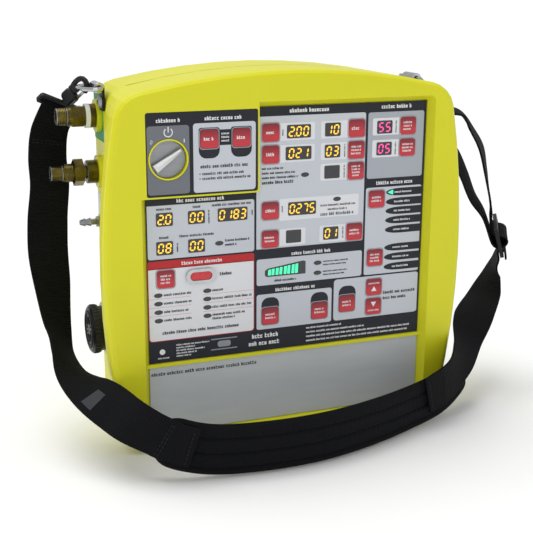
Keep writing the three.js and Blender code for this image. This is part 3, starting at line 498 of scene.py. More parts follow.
def number(text, u0, u1, v0, v1):
    """Lit and unlit outlines of a number centred in its window."""
    digits = text.replace(".", "")
    pitch = min(6.6, (u1 - u0 - 1.5) / len(digits))
    start = (u0 + u1) / 2 - pitch * len(digits) / 2 + (pitch - DIGIT_WIDTH) / 2 - SLANT * DIGIT_HEIGHT / 2
    low = (v0 + v1) / 2 - DIGIT_HEIGHT / 2
    lit, dark = [], []
    for i, char in enumerate(digits):
        lit += digit(char, start + pitch * i, low)
        dark += digit(char, start + pitch * i, low, lit=False)
    if "." in text:
        at = start + pitch * text.index(".") - (pitch - DIGIT_WIDTH) / 2
        lit.append(ellipse(at, low + 0.5, 1.1, 1.1, 10))
    return lit, dark


AMBER_NUMBERS = [
    ("2.0", 9, 23.5, 120.8, 132.2), ("00", 36.7, 51.5, 120.8, 132.2), ("0183", 63, 89.7, 121, 132.5),
    ("08", 8.7, 23.3, 96, 107.7), ("00", 36.5, 51.3, 96, 107.7),
    ("2.00", 125.5, 147.7, 189, 200.5), ("021", 124.5, 148.5, 170.3, 181.8), ("10", 161, 175.8, 189, 200.7),
    ("03", 161, 175.8, 170.3, 181.8), ("0275", 127.3, 153.6, 121.5, 133.3), ("01", 161, 175.7, 97, 108.5),
]
PINK_NUMBERS = [("55", 211, 226, 189, 200.5), ("05", 211, 226, 169.8, 181.5)]
BLANK_WINDOWS = [(161, 175.7, 152, 163.5), (125.5, 139.8, 97, 108.5)]


def number_displays():
    windows = [entry[1:] for entry in AMBER_NUMBERS + PINK_NUMBERS] + BLANK_WINDOWS
    printed("display_windows", "window", [rounded(*w, 1.2) for w in windows], 0.45)
    unlit = []
    for look, entries in (("amber", AMBER_NUMBERS), ("pink", PINK_NUMBERS)):
        lit = []
        for entry in entries:
            on, off = number(*entry)
            lit += on
            unlit += off
        printed("digits_" + look, look, lit, 0.62, under=-0.4)
    printed("digits_unlit", "unlit", unlit, 0.5, under=-0.4)


# ---- printed panel

MAIN_KEYS = {  # middle of the key and its lines of print
    "inspiratory_time": (110.8, 194.8, 1), "oxygen_percent": (110.8, 176, 1),
    "tidal_volume": (110.6, 127.2, 1), "pressure_support": (110.6, 102, 2),
    "breath_rate": (191.2, 195, 1), "end_pressure": (191.2, 176, 3),
    "peak_pressure": (191.2, 157.6, 4), "trigger": (191.2, 102.4, 2),
    "high_alarm": (241.4, 195.2, 3), "low_alarm": (241.4, 175.8, 3),
    "mode": (212.6, 130.6, 2), "custom_mode": (212.6, 76.4, 3),
    "alarm_silence": (16.2, 75, 3), "oxygen_conserve": (111, 32, 2),
    "manual_breath": (158.6, 32, 2), "control_lock": (185.8, 35.8, 2),
    "increase": (212.6, 48.6, 0), "decrease": (212.6, 30.2, 0),
}
START_KEYS = {"adult": (53.8, 193.2, 1), "child": (81.9, 193.2, 1)}
KEY_PROUD = 0.8
LEGEND_SIZE = {1: (3.0, 5.0), 2: (2.1, 5.6), 3: (2.0, 5.4), 4: (1.8, 4.6)}  # height, half width by lines
ARROWS = {"key_increase": (-3.9, 0.6, 3.6), "key_decrease": (4.2, -0.4, -3.8)}  # base, tip and word
ARROW_HALF, WORD_HALF, WORD_HEIGHT = 2.7, 5.6, 1.7
KEY_RIM, KEY_EDGE = (8.75, 3.1), (8.1, 2.6)  # half width and corner radius, outside and inside


def all_keys():
    """Each key's name, place on the panel, lines of print and the face round it."""
    for base, keys in ((MAIN_Y, MAIN_KEYS), (ISLAND_Y, START_KEYS)):
        for name, (u, v, lines) in keys.items():
            yield "key_" + name, u, v, lines, base


def key_legends():
    for name, u, v, lines, base in all_keys():
        outlines = []
        for i in range(lines):
            height, half = LEGEND_SIZE[lines]
            offset = ((lines - 1) / 2 - i) * height * 1.5
            inset = 1.2 * marks.next()
            outlines += marks.line(u - half + inset, u + half - inset, v + offset, height)
        if name in ARROWS:
            root, tip, word = ARROWS[name]
            outlines = [[(u - ARROW_HALF, v + root), (u + ARROW_HALF, v + root), (u, v + tip)]]
            outlines += marks.line(u - WORD_HALF, u + WORD_HALF, v + word, WORD_HEIGHT)
        printed("legend_" + name, "white_ink", outlines, 0.12, base=base - KEY_PROUD, body=name)


# A thin grey ring round each key cap: a painted highlight on the key's raised edge.
def key_highlight_rims():
    bm = bmesh.new()
    for _, u, v, _, base in all_keys():
        rings = [on_panel(rounded(u - half, u + half, v - half, v + half, radius, 5))
                 for half, radius in (KEY_RIM, KEY_EDGE)]
        framed(bm, *rings, base - 0.42, base + SUNK)
    finish_piece("key_highlight_rims", bm, "rim")


FIELDS = {
    "field": [
        rounded(1.3, 96, 92.5, 138.5, (2, 2, 2, 0.5)),
        rounded(98, 200, 93.5, 208.5, (0.5, 2, 2, 2)),
        rounded(98.3, 199.7, 60.5, 84.3, 2),
        rounded(98.3, 170.5, 20, 52.2, 2),
        rounded(172.6, 258.3, 20.2, 59, 3),
        rounded(202, 257.8, 60.5, 141, 2),
    ],
    "pale": [
        rounded(1.1, 95.6, 20.4, 83.8, (2.5, 2.5, 0.3, 0.3)),
    ],
    "mid": [rounded(202.4, 257.5, 149.2, 208, 2)],
}
BACKINGS = [  # pale fields behind the displays
    (118, 151.5, 187.3, 202.3), (118, 151.5, 168.5, 183.5), (157.3, 184, 187.3, 202.3),
    (157.3, 184, 168.5, 183.5), (157.3, 184, 150.3, 165.3), (119, 195, 117.5, 136.8),
    (119, 144, 95, 110), (157.5, 184, 95, 110), (206.8, 249, 187.7, 202.8), (206.8, 249, 168, 183.5),
]
WHITE_TEXT = [  # from u, to u, middle v, height
    (27, 70, 141.6, 3.4), (30.5, 66.5, 87.5, 3.2), (128, 168, 212.6, 3.8), (215, 245, 212.6, 3.6),
    (131, 169.5, 87.2, 3.2), (116, 155, 55.4, 3.2), (212, 249, 144.8, 3.4),
    (94, 119, 14.2, 4.2), (91, 121, 7.4, 4.2),
    (24.5, 54.5, 15, 1.5), (24.5, 42, 12.5, 1.5), (24.5, 50.5, 10, 1.5), (24.5, 43, 7.4, 1.5),
    (24.5, 38, 4.9, 1.5),
    (146, 181, 16.6, 1.8), (146, 204, 12.6, 1.9), (146, 251.5, 8.6, 1.9), (146, 249, 4.5, 1.9),
    (8, 18, 4.5, 1.4),
]
DARK_TEXT = [
    (9.5, 23.5, 135.4, 2.2), (41, 48, 135.5, 2.2), (58, 94, 135.7, 2.2), (11.5, 20, 111, 2.2),
    (29, 61, 111.2, 2.2), (69.5, 92, 104.2, 2.2), (69.5, 81, 100.4, 2.2), (64.5, 77, 75, 3.0),
    (14.3, 39, 61, 2.3), (14.3, 39, 53.6, 2.3), (14.3, 37, 46, 2.3), (14.3, 39, 38.4, 2.3),
    (57.5, 69, 61, 2.3), (57.5, 94.5, 53.6, 2.3), (57.5, 94.5, 46, 2.3), (57.5, 88.5, 38.9, 2.3),
    (57.5, 78.5, 35.4, 2.2), (12.5, 83, 27, 3.0), (103, 123.5, 164, 2.1), (103, 134, 160, 2.1),
    (103, 137, 156, 2.1), (103, 133.5, 151.8, 2.9),
    (158, 192, 128.4, 2.1), (165, 184.5, 124.6, 2.1), (158, 191.5, 120.4, 2.9),
    (115, 136, 64, 2.2), (161.5, 186, 77.3, 1.3), (161.5, 184, 74.3, 1.3), (161.5, 185, 68.1, 1.3),
    (161.5, 183, 65.1, 1.3), (222.5, 256.5, 42, 2.9), (222.5, 246.5, 36.8, 2.9),
]
UNIT_TEXT = [  # from v, to v, middle u, height
    (120.5, 132.5, 55, 1.4), (98, 105.5, 27, 1.4), (125, 129.5, 94, 1.4), (191.5, 198, 121.7, 1.5),
    (170.5, 182, 180, 1.5), (152, 163.5, 180, 1.5), (125, 130.5, 121.7, 1.5), (97.5, 108, 180, 1.5),
    (189.5, 201, 229.6, 1.5), (170, 181.5, 229.6, 1.5),
]
LAMPS = [
    (64.2, 102.2), (9.5, 61), (9.5, 53.6), (9.5, 46), (9.5, 38.4), (53, 61), (53, 53.6), (53, 46), (53, 38.4),
    (142.8, 156.8), (173.8, 133.3), (156.2, 76.5), (156.2, 67.3),
]
MODE_ROWS = [135.8, 127, 118.6, 110, 101.2, 84.5, 75.6, 66.4]


PILL_RIGHT, PILL_LEFT, PILL_TIP, PILL_HALF = 258.6, 237, 15, 3.5


def mode_pill(v):
    """A black band that runs off to the right from a pointed, rounded tip."""
    tip = [(PILL_LEFT - PILL_TIP * math.cos(a) ** 0.9, v + PILL_HALF * math.sin(a)) for a in arc(90, -90, 8)]
    return [(PILL_RIGHT, v + PILL_HALF)] + tip + [(PILL_RIGHT, v - PILL_HALF)]


def printed_panel():
    for look, outlines in FIELDS.items():
        printed("fields_" + look, look, outlines, 0.12)
    printed("display_backings", "pale", [rounded(*b, 1.6) for b in BACKINGS], 0.24)
    printed("alarm_header", "red_ink", [rounded(0.6, 96, 84.2, 91, (0, 0, 2, 2))], 0.16)
    bm = bmesh.new()
    framed(bm, on_panel(rounded(0.6, 96.1, 19.8, 84.5, (3, 3, 0.5, 0.5))),
           on_panel(rounded(1.2, 95.5, 20.4, 83.9, (2.5, 2.5, 0.4, 0.4))), MAIN_Y - 0.16, MAIN_Y + SUNK)
    finish_piece("alarm_outline", bm, "red_ink", flat=True)
    rules = [rounded(u0, u1, v, v + 0.3, 0)
             for v in (57.6, 50, 42.4) for u0, u1 in ((1.4, 38.5), (49.5, 95.4))]
    printed("alarm_rules", "pink_ink", rules, 0.18)
    surrounds = ((102.8, 119.5, 23.5, 49), (150, 167, 23.5, 49), (177.5, 194.5, 27.5, 52.2))
    printed("key_surrounds", "ink", [rounded(*box, (2, 2, 6.5, 6.5)) for box in surrounds], 0.2)
    printed("mode_bands", "ink", [mode_pill(v) for v in MODE_ROWS], 0.2)
    dividers = ((200.3, 202, 60, 217), (257.9, 259.5, 20, 217))
    printed("panel_divider", "overlay", [rounded(*box, 0) for box in dividers], 0.14)
    mode_text = [(230.5, 248, v, 1.9) for v in MODE_ROWS]
    printed("print_white", "white_ink", text_rows(WHITE_TEXT), 0.3)
    printed("print_modes", "white_ink", text_rows(mode_text), 0.32)
    printed("print_dark", "ink", text_rows(DARK_TEXT) + text_rows(UNIT_TEXT, True), 0.34)
    printed("mode_lamp", "green", [[(223.5, 135.8), (229, 133.6), (229, 138)]], 0.5)
    printed("footer_mark", "white_ink", [ellipse(12, 10, 5, 5)], 0.14)
    printed("footer_block", "grey_ink", [rounded(56, 80, 6, 7, 0), rounded(56, 80, 15.5, 16.5, 0),
                                         rounded(62, 74, 8.5, 14, 2)], 0.14)
    printed("plate_print", "ink", marks.line(1.8, 99, -10, 3.4), 0.12)


def lamps():
    bm = bmesh.new()
    for u, v in LAMPS:
        for width, height, proud in ((7.5, 4.0, 0.35), (6.3, 3.0, 0.6)):
            prism(bm, on_panel(ellipse(u, v, width, height)), MAIN_Y - proud, MAIN_Y + SUNK)
    finish_piece("status_lamps", bm, "window")
    bm = bmesh.new()
    for u in (41, 47.3, 54):
        prism(bm, on_panel(ellipse(u, 75.3, 4.2, 4.2)), MAIN_Y - 2.1, MAIN_Y - 1.6)
    finish_piece("alarm_lamps", bm, "lamp_red")


def battery_gauge():
    wedge = [(106, 69.5), (107.5, 68), (144.5, 67.9), (144.5, 79.2), (142.5, 80), (108.5, 75.4), (106, 73.5)]
    printed("battery_window", "window", [wedge], 0.3)
    bars = []
    for i, u in enumerate((108.8, 112.1, 115.9, 119.5, 123.6, 127, 131, 134.4)):
        top = 74.3 + 3.2 * i / 7
        bars.append([(u, 69.3), (u + 2.5, 69.3), (u + 2.9, top + 0.3), (u + 0.4, top)])
    printed("battery_bars", "green", bars, 0.5, under=-0.2)


KNOB_U, KNOB_V, COLLAR = 18.9, 177.7, 17.4
KNOB_TOP_Y, KNOB_POINTER = -58.8, 34  # the pointer's flat top, and its angle from the right
POWER_FIELD, POWER_CORNER = (1.0, 36.7, 149, 205.5), 2.5
RIDGE_HEIGHT, RIDGE_EDGE = 1.5, 0.5


def knob_surround():
    """The field round the power knob, as two halves that leave its collar free."""
    bow = curve(0, KNOB_V, COLLAR, COLLAR, arc(90, -90, 24))
    left, right, low, high = POWER_FIELD
    halves = []
    for side, reach in ((-1, KNOB_U - left), (1, right - KNOB_U)):
        outline = rounded(0, reach, low, high, (0, POWER_CORNER, POWER_CORNER, 0)) + bow
        halves.append([(KNOB_U + side * a, b) for a, b in outline])
    return halves


def knob_ridge_highlight():
    """The peaked ridge along the knob's pointer, in a lighter copy of the knob's metal: a painted highlight.
    """
    base, peak = KNOB_TOP_Y + SUNK, KNOB_TOP_Y - RIDGE_HEIGHT
    turn = math.radians(KNOB_POINTER)
    corners = [(-13.6, -3.7, base), (-13.6, 3.7, base), (13.6, 1.4, base), (13.6, -1.4, base),
               (-11.5, 0, peak), (12.8, 0, peak)]
    bm = bmesh.new()
    flat = on_panel([(KNOB_U + a * math.cos(turn) - b * math.sin(turn),
                      KNOB_V + a * math.sin(turn) + b * math.cos(turn)) for a, b, _ in corners])
    verts = new_verts(bm, [(x, y, z) for (x, z), (_, _, y) in zip(flat, corners)])
    for face in ((0, 1, 2, 3), (0, 4, 1), (1, 4, 5, 2), (2, 5, 3), (3, 5, 4, 0)):
        bm.faces.new([verts[i] for i in face])
    made = finish_piece("knob_ridge_highlight", bm, "knob_ridge_highlight", body="power_knob", flat=True)
    soften(made, RIDGE_EDGE, 3)


POWER_MARK, MARK_GAP = (19, 200), 38  # middle of the open ring, and half its gap in degrees


def start_panel():
    """The raised corner of the panel, with the power switch and the start keys."""
    printed("power_field", "slate", knob_surround(), 0.12, ISLAND_Y)
    printed("start_field", "field", [rounded(40, 94.5, 148.8, 206.3, 2.5)], 0.12, ISLAND_Y)
    surrounds = [rounded(u0, u1, 177, 202.5, (6.5, 6.5, 2, 2)) for u0, u1 in ((44.7, 62.8), (72.7, 91))]
    surrounds.append(rounded(62, 74, 187.5, 200.5, 0))
    printed("start_surrounds", "ink", surrounds, 0.2, ISLAND_Y)
    white = [(9, 29, 209.6, 3.4), (50, 83, 210, 3.4)] + [(64.3, 71.8, v, 1.9) for v in (197.2, 194.2, 191.2)]
    printed("start_print_white", "white_ink", text_rows(white), 0.3, ISLAND_Y)
    dark = [(46, 88, 170.3, 3.0), (47.5, 84, 164.3, 2.4), (47.5, 90, 160.3, 2.4)]
    dots = [ellipse(45.4, 164.3, 1.1, 1.1, 8), ellipse(45.4, 160.3, 1.1, 1.1, 8)]
    printed("start_print_dark", "ink", text_rows(dark) + dots, 0.28, ISLAND_Y)
    zero, one = digit("0", 0, 0), [(0.6, 0), (1.3, 0), (1.3, 3), (0.6, 3)]
    small = [[(3.6 + x * 0.36, 191 + z * 0.36) for x, z in part] for part in zero]
    printed("switch_marks", "white_ink", small + [[(31.4 + x, 191.3 + z) for x, z in one]], 0.22, ISLAND_Y)
    bm = bmesh.new()
    outer, inner = (curve(*POWER_MARK, r, r, arc(90 + MARK_GAP, 450 - MARK_GAP, 20)) for r in (3.9, 3.1))
    for outline in (outer + inner[::-1], rounded(18.6, 19.4, 200, 204.6, 0)):
        prism(bm, on_panel(outline), ISLAND_Y - 0.22, ISLAND_Y + SUNK)
    finish_piece("power_mark", bm, "white_ink", flat=True)


# ---- strap

def catmull(points, t):
    """Point of a centripetal Catmull-Rom curve through the points, t from 0 to 1 by stations."""
    last = len(points) - 1
    at = min(last * t, last - 1e-9)
    i = int(at)
    w = at - i
    p1, p2 = points[i], points[i + 1]
    p0 = points[i - 1] if i > 0 else p1 * 2 - p2
    p3 = points[i + 2] if i + 2 <= last else p2 * 2 - p1
    d0, d1, d2 = ((b - a).length ** 0.5 for a, b in ((p0, p1), (p1, p2), (p2, p3)))
    d1 = max(d1, 1e-4)
    d0, d2 = d0 if d0 > 1e-4 else d1, d2 if d2 > 1e-4 else d1
    m1 = ((p1 - p0) / d0 - (p2 - p0) / (d0 + d1) + (p2 - p1) / d1) * d1
    m2 = ((p2 - p1) / d1 - (p3 - p1) / (d1 + d2) + (p3 - p2) / d2) * d1
    c2 = (p2 - p1) * 3 - m1 * 2 - m2
    c3 = (p1 - p2) * 2 + m1 + m2
    return p1 + m1 * w + c2 * w ** 2 + c3 * w ** 3


class Strip:
    """A band of cloth along stations of (place, width direction), with even steps of length."""

    def __init__(self, stations, step_mm):
        places = [Vector(p) for p, _ in stations]
        widths = [Vector(w) for _, w in stations]
        fine = 40 * len(stations)
        samples = [catmull(places, i / fine) for i in range(fine + 1)]
        reach = [0.0]
        for a, b in zip(samples, samples[1:]):
            reach.append(reach[-1] + (b - a).length)
        self.length = reach[-1]
        self.count = max(8, round(self.length / step_mm))
        self.frames = []
        k = 0
        for i in range(self.count + 1):
            goal = self.length * i / self.count
            while k < fine - 1 and reach[k + 1] < goal:
                k += 1
            share = (goal - reach[k]) / max(reach[k + 1] - reach[k], 1e-9)
            t = (k + min(share, 1)) / fine
            tangent = (catmull(places, min(t + 1e-3, 1)) - catmull(places, max(t - 1e-3, 0))).normalized()
            width = catmull(widths, t)
            width = (width - tangent * width.dot(tangent)).normalized()
            self.frames.append((catmull(places, t), width, tangent.cross(width)))

    def at(self, along, across, lift):
        """A point at a distance along the band, across it and above its middle surface."""
        spot = min(max(along / self.length, 0), 1) * self.count
        i = min(int(spot), self.count - 1)
        w = spot - i
        a, b = self.frames[i], self.frames[i + 1]
        place, width, normal = (near.lerp(far, w) for near, far in zip(a, b))
        return place + width * across + normal * lift

    def mesh(self, name, section, look, shape=None):
        """Sweeps a closed section of (across, lift) points, with UVs in metres along the band."""
        bm = bmesh.new()
        uv = bm.loops.layers.uv.new("weave")
        rings = []
        step = self.length / self.count
        for i, (place, width, normal) in enumerate(self.frames):
            points = [shape(i * step, x, z) for x, z in section] if shape else section
            rings.append(new_verts(bm, [place + width * x + normal * z for x, z in points]))
        count = len(section)
        for i in range(self.count):
            for j in range(count):
                k = (j + 1) % count
                face = bm.faces.new((rings[i][j], rings[i][k], rings[i + 1][k], rings[i + 1][j]))
                spots = ((j, i), (k, i), (k, i + 1), (j, i + 1))
                for loop, (across, along) in zip(face.loops, spots):
                    loop[uv].uv = (section[across][0] * MM, along * step * MM)
        for ring, turn in ((rings[0], -1), (rings[-1], 1)):
            bm.faces.new(ring[::turn])
        return finish_piece(name, bm, look)

    def patch(self, name, start, end, low, high, lift, thickness, look):
        """A thin closed patch that follows the band."""
        bm = bmesh.new()
        cells_along, cells_across = max(2, int((end - start) / 2)), max(2, int((high - low) / 3))
        layers = []
        for height in (lift, lift + thickness):
            grid = []
            for i in range(cells_along + 1):
                along = start + (end - start) * i / cells_along
                rows = [low + (high - low) * j / cells_across for j in range(cells_across + 1)]
                grid.append(new_verts(bm, [self.at(along, across, height) for across in rows]))
            layers.append(grid)
        for grid in layers:
            for i in range(cells_along):
                for j in range(cells_across):
                    bm.faces.new((grid[i][j], grid[i][j + 1], grid[i + 1][j + 1], grid[i + 1][j]))
        rims = [[grid[i][0] for i in range(cells_along + 1)] + grid[-1][1:]
                + [grid[i][-1] for i in range(cells_along - 1, -1, -1)] + grid[0][-2:0:-1] for grid in layers]
        bridge(bm, *rims)
        finish_piece(name, bm, look)


def band_section():
    """The webbing's section: flat, with rounded selvedges."""
    half, t = WEBBING_WIDTH / 2, WEBBING_THICKNESS / 2
    inner = half - t * 0.6
    row = [inner * (i / 4 - 1) for i in range(9)]
    return [(-half, 0)] + [(x, t) for x in row] + [(half, 0)] + [(x, -t) for x in reversed(row)]


# Each hook's place on its ring, the way it leaves it, and the way its webbing lies across.
HOOKS = {
    "left": ((-160.8, 39, 309.2), (-0.502, 0.624, -0.598), (0.863, 0.325, -0.386)),
    "right": ((161.4, 21, 297.8), (0.8, 0, -0.6), (-0.2, -0.94, -0.27)),
}
FOLD_RADIUS = 3.8
FOLD_CENTRE = 34.7


def hook_place(side, along, above):
    """A station of the strap near a hook's flat loop."""
    contact, direction, across = (Vector(v) for v in HOOKS[side])
    x = direction.normalized()
    y = across.cross(x).normalized()
    z = x.cross(y)
    return contact + x * along + y * above, z * (1 if z.y > 0 else -1)


def hook_fold(side, turn):
    """The strap folded round the outer bar of a hook's loop."""
    loop = curve(FOLD_CENTRE, 0, FOLD_RADIUS, turn * FOLD_RADIUS, arc(90, 270, 4))
    return [hook_place(side, *p) for p in [(FOLD_CENTRE + 5, turn * FOLD_RADIUS)] + loop]


SLIDER_CENTRE, SLIDER_DOWN = Vector((254, 10, 148)), Vector((0.3, 0, -0.954)).normalized()
SLIDER_ACROSS = Vector((0.54, 0.84, 0))


def slider_place(out, down):
    across = (SLIDER_ACROSS - SLIDER_DOWN * SLIDER_ACROSS.dot(SLIDER_DOWN)).normalized()
    outward = SLIDER_DOWN.cross(across)
    return (SLIDER_CENTRE + outward * out + SLIDER_DOWN * down, across)


LEFT_WEBBING = hook_fold("left", 1) + [
    ((-186, 62, 270), (0.93, 0.35, -0.1)), ((-190, 59, 245), (0.95, 0.3, 0)),
    ((-189.5, 57, 220), (0.97, 0.25, 0)), ((-193, 57, 188), (0.97, 0.2, 0)),
    ((-195, 52, 161.5), (0.97, 0.2, -0.04)), ((-194, 46, 135), (0.94, 0.34, -0.08)),
    ((-194, 38, 114.5), (0.84, 0.49, -0.22)), ((-193.5, 27, 96), (0.73, 0.54, -0.42)),
    ((-193, 13, 83.5), (0.63, 0.45, -0.63)), ((-191.5, -6, 74), (0.74, 0.3, -0.6)),
    ((-188, -32, 67), (0.96, 0.23, -0.15)), ((-180.5, -58, 62.5), (0.9, 0.24, 0.37)),
    ((-171, -82, 58.5), (0.66, 0.18, 0.73)), ((-161, -105, 54), (0.5, 0.02, 0.87)),
    ((-145, -118, 45.5), (0.25, -0.1, 0.95)), ((-128, -123, 36), (0.08, -0.12, 0.99)),
    ((-113, -127.5, 31), (0.03, -0.12, 0.99)),
]
PAD_STATIONS = [
    ((-138, -110.8, 38), (0.08, -0.1, 0.99)), ((-120, -118, 31), (0.05, -0.12, 0.99)),
    ((-95, -123.8, 25.8), (-0.02, -0.12, 0.99)), ((-50, -129.5, 24.4), (0, -0.12, 0.99)),
    ((0, -128.5, 24.4), (0.02, -0.12, 0.99)), ((50, -117, 24.4), (0.04, -0.12, 0.99)),
    ((100, -98.5, 24.8), (0.05, -0.12, 0.99)), ((145, -78, 27), (0.02, -0.1, 0.99)),
    ((170, -60, 31), (-0.03, -0.08, 0.99)), ((188, -44, 36), (-0.1, -0.05, 0.99)),
]
RIGHT_WEBBING = [
    ((116, -100.4, 34), (-0.36, -0.17, 0.92)), ((146, -89, 44), (-0.32, -0.24, 0.92)),
    ((170, -69.5, 54.5), (-0.5, 0, 0.86)), ((193, -41, 70), (-0.7, 0.35, 0.6)),
    ((216, -16, 79), (-0.62, 0.74, 0.15)), ((241, 9.5, 89), (-0.4, 0.87, -0.1)),
    ((251.5, 15.5, 105), (0.1, 0.96, 0)), ((254.8, 14.8, 119.5), (0.45, 0.88, 0.13)),
] + [slider_place(*p) for p in ((-3.9, 18), (-3.5, 10.8), (0, 8.4), (3.5, 10.8), (3.8, 16), (3, 20))]
UPPER_LOOP = hook_fold("right", -1) + [
    ((208, 18, 272), (0.55, 0.8, -0.1)), ((221, 16, 255), (0.6, 0.8, -0.05)),
    ((230, 13, 238), (0.6, 0.8, 0)), ((235, 11, 218.5), (0.56, 0.83, 0)),
    ((239, 10, 197), (0.5, 0.86, 0)), ((243, 10, 178), (0.5, 0.86, 0)),
] + [slider_place(*p) for p in (
    (-4.8, -15), (-3.6, -9.4), (0, -6.6), (6, -3.5), (8, 0.5), (5.5, 4.2), (0, 5.2), (-3.8, 4.2), (-6.2, 0.5)
)] + [
    ((236, 14, 172), (0.55, 0.83, 0)), ((224, 15.5, 190), (0.62, 0.78, 0)),
    ((215, 17, 210), (0.66, 0.75, 0)), ((206, 18, 228), (0.66, 0.75, 0)), ((193, 17, 246), (0.6, 0.8, 0)),
]
WEBBING_WIDTH, WEBBING_THICKNESS, PAD_WIDTH, PAD_THICKNESS = 38, 1.9, 47, 9
STEP, PAD_STEP = 1.6, 1.8  # spacing of the sections along the strap
TAG_PLACE, TAG_LENGTH, TAG_SPAN = 0.74, 12, (-13, 5)  # share of the webbing's length, size along and across
TAG_THICKNESS = 0.35


def strap_bands():
    strips = {}
    routes = {"left_webbing": LEFT_WEBBING, "right_webbing": RIGHT_WEBBING, "upper_loop": UPPER_LOOP}
    for name, stations in routes.items():
        strip = Strip(stations, STEP)
        made = strip.mesh(name + "_cloth", band_section(), "webbing", curl(strip))
        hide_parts(name)
        strips[name] = strip
    return strips


def curl(strip):
    """Slight waves along both selvedges, fading out at the sewn ends."""
    def shape(along, x, z):
        fade = min(1, along / 40, (strip.length - along) / 40)
        edge = abs(2 * x / WEBBING_WIDTH) ** 3
        wave = 0.5 * math.sin(along / 23 + (1.3 if x > 0 else 0)) + 0.25 * math.sin(along / 9.5 + x)
        return x, z + fade * edge * wave
    return shape


PAD_SEAMS = (-15.5, -1.5, 12.5)
SEAM_HALF, PUCKER_HALF, SEAM_DEPTH, PUCKER_DEPTH = 1.5, 4.5, 1.35, 0.28
PAD_CORNER, PAD_TAPER = 16, 14


def pad_section():
    half, t = PAD_WIDTH / 2, PAD_THICKNESS / 2
    row = [-half + PAD_WIDTH * i / 48 for i in range(49)]
    top = [(x, max(1.0, t * (1 - abs(x / half) ** 6) ** 0.5)) for x in row]
    return top + [(x, -z) for x, z in reversed(top)]


def pad_shape(strip):
    """Sewn seams pull the padding down, with puckers between stitches; both ends are rounded."""
    def shape(along, x, z):
        to_end = min(along, strip.length - along)
        squeeze = 1.0
        if to_end < PAD_CORNER:
            squeeze = 0.55 + 0.45 * math.sqrt(max(0.0, 1 - (1 - to_end / PAD_CORNER) ** 2))
        seam = 0.0
        for line in PAD_SEAMS:
            near = math.exp(-((x - line) / SEAM_HALF) ** 2)
            pucker = math.exp(-((x - line) / PUCKER_HALF) ** 2)
            seam += SEAM_DEPTH * near + PUCKER_DEPTH * pucker * math.sin(along * 1.15 + line)
        soft = 0.35 * math.sin(along / 17 + x / 11) * (1 - abs(2 * x / PAD_WIDTH) ** 4)
        flat = min(1, 0.35 + to_end / PAD_TAPER)
        height = (abs(z) - min(seam, abs(z) - 0.9) + soft * 0.5) * flat
        return x * squeeze, max(height, 0.7) * (1 if z > 0 else -1)
    return shape


def shoulder_pad():
    strip = Strip(PAD_STATIONS, PAD_STEP)
    made = strip.mesh("shoulder_pad_cloth", pad_section(), "pad", pad_shape(strip))
    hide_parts("shoulder_pad")


STITCH, STITCH_GAP, THREAD_RADIUS = 2.6, 1.4, 0.33
PAD_ROWS, HOOK_ROWS, ROW_HALF = (4, 24.5, 27), (46, 48.5), 16  # places from the strip's end, half length


def stitches(name, strip, paths, lift):
    """Runs of small raised stitches on a band; each path is two (along, across) points."""
    bm = bmesh.new()
    for (a0, c0), (a1, c1) in paths:
        run = math.hypot(a1 - a0, c1 - c0)
        for i in range(int(run / (STITCH + STITCH_GAP))):
            ends = []
            for offset in (0, STITCH):
                share = (i * (STITCH + STITCH_GAP) + offset) / run
                ends.append(strip.at(a0 + (a1 - a0) * share, c0 + (c1 - c0) * share, lift))
            capsule(bm, *ends, THREAD_RADIUS)
    finish_piece(name, bm, "thread")


def capsule(bm, start, end, radius):
    """A six-sided rod with narrowed ends."""
    axis = (end - start).normalized()
    side = axis.orthogonal().normalized()
    other = axis.cross(side)
    ways = [side * math.cos(a) + other * math.sin(a) for a in around(6)]
    rings = []
    for share, size in ((0, 0.35), (0.18, 1), (0.82, 1), (1, 0.35)):
        centre = start.lerp(end, share)
        rings.append(new_verts(bm, [centre + way * radius * size for way in ways]))
    for low, high in zip(rings, rings[1:]):
        bridge(bm, low, high)
    bm.faces.new(rings[0][::-1])
    bm.faces.new(rings[-1])


def sewing(strips):
    """Rows of stitching where webbing is doubled back at the hooks and where it meets the pad."""
    top = WEBBING_THICKNESS / 2 + 0.05
    left, right, upper = strips.values()
    rows = {
        "pad_left": (left, [left.length - along for along in PAD_ROWS[::-1]]),
        "pad_right": (right, PAD_ROWS),
        "hook_left": (left, HOOK_ROWS),
        "hook_right": (upper, HOOK_ROWS),
    }
    for word, (strip, places) in rows.items():
        paths = [((along, -ROW_HALF), (along, ROW_HALF)) for along in places]
        for face, side in (("outer", 1), ("inner", -1)):
            stitches(f"stitches_{word}_{face}", strip, paths, side * top)


def woven_tag(strip):
    """A plain woven tag sewn on the strap's front, without any print."""
    place = TAG_PLACE * strip.length
    side = -1 if strip.frames[int(TAG_PLACE * strip.count)][2].y > 0 else 1
    lift = side * WEBBING_THICKNESS / 2
    strip.patch("strap_tag", place, place + TAG_LENGTH, *TAG_SPAN, lift, TAG_THICKNESS * side, "tag")


# ---- turned and small metal details

def turned(bm, profile, place, axis, sides=32, start=0.0):
    """Turns a closed profile of (along, radius) points round an axis through a place."""
    axis = Vector(axis).normalized()
    side = axis.orthogonal().normalized() if abs(axis.z) > 0.9 else Vector((0, 0, 1))
    other = axis.cross(side)
    centre = Vector(place)
    rings = []
    for a in around(sides, start):
        out = side * math.cos(a) + other * math.sin(a)
        rings.append(new_verts(bm, [centre + axis * along + out * radius for along, radius in profile]))
    for near, far in zip(rings, rings[1:] + rings[:1]):
        bridge(bm, near, far)
    bmesh.ops.remove_doubles(bm, verts=bm.verts, dist=1e-7)


def thread_profile(start, end, inner, outer, pitch):
    turns = max(1, round((end - start) / pitch))
    points = [(start, inner)]
    for i in range(turns):
        low = start + (end - start) * i / turns
        high = start + (end - start) * (i + 1) / turns
        middle = (inner + outer) / 2
        points += [(low + 0.1, middle), ((low + high) / 2, outer), (high - 0.1, middle)]
    return points + [(end, inner), (end, inner - 0.4), (start, inner - 0.4)]


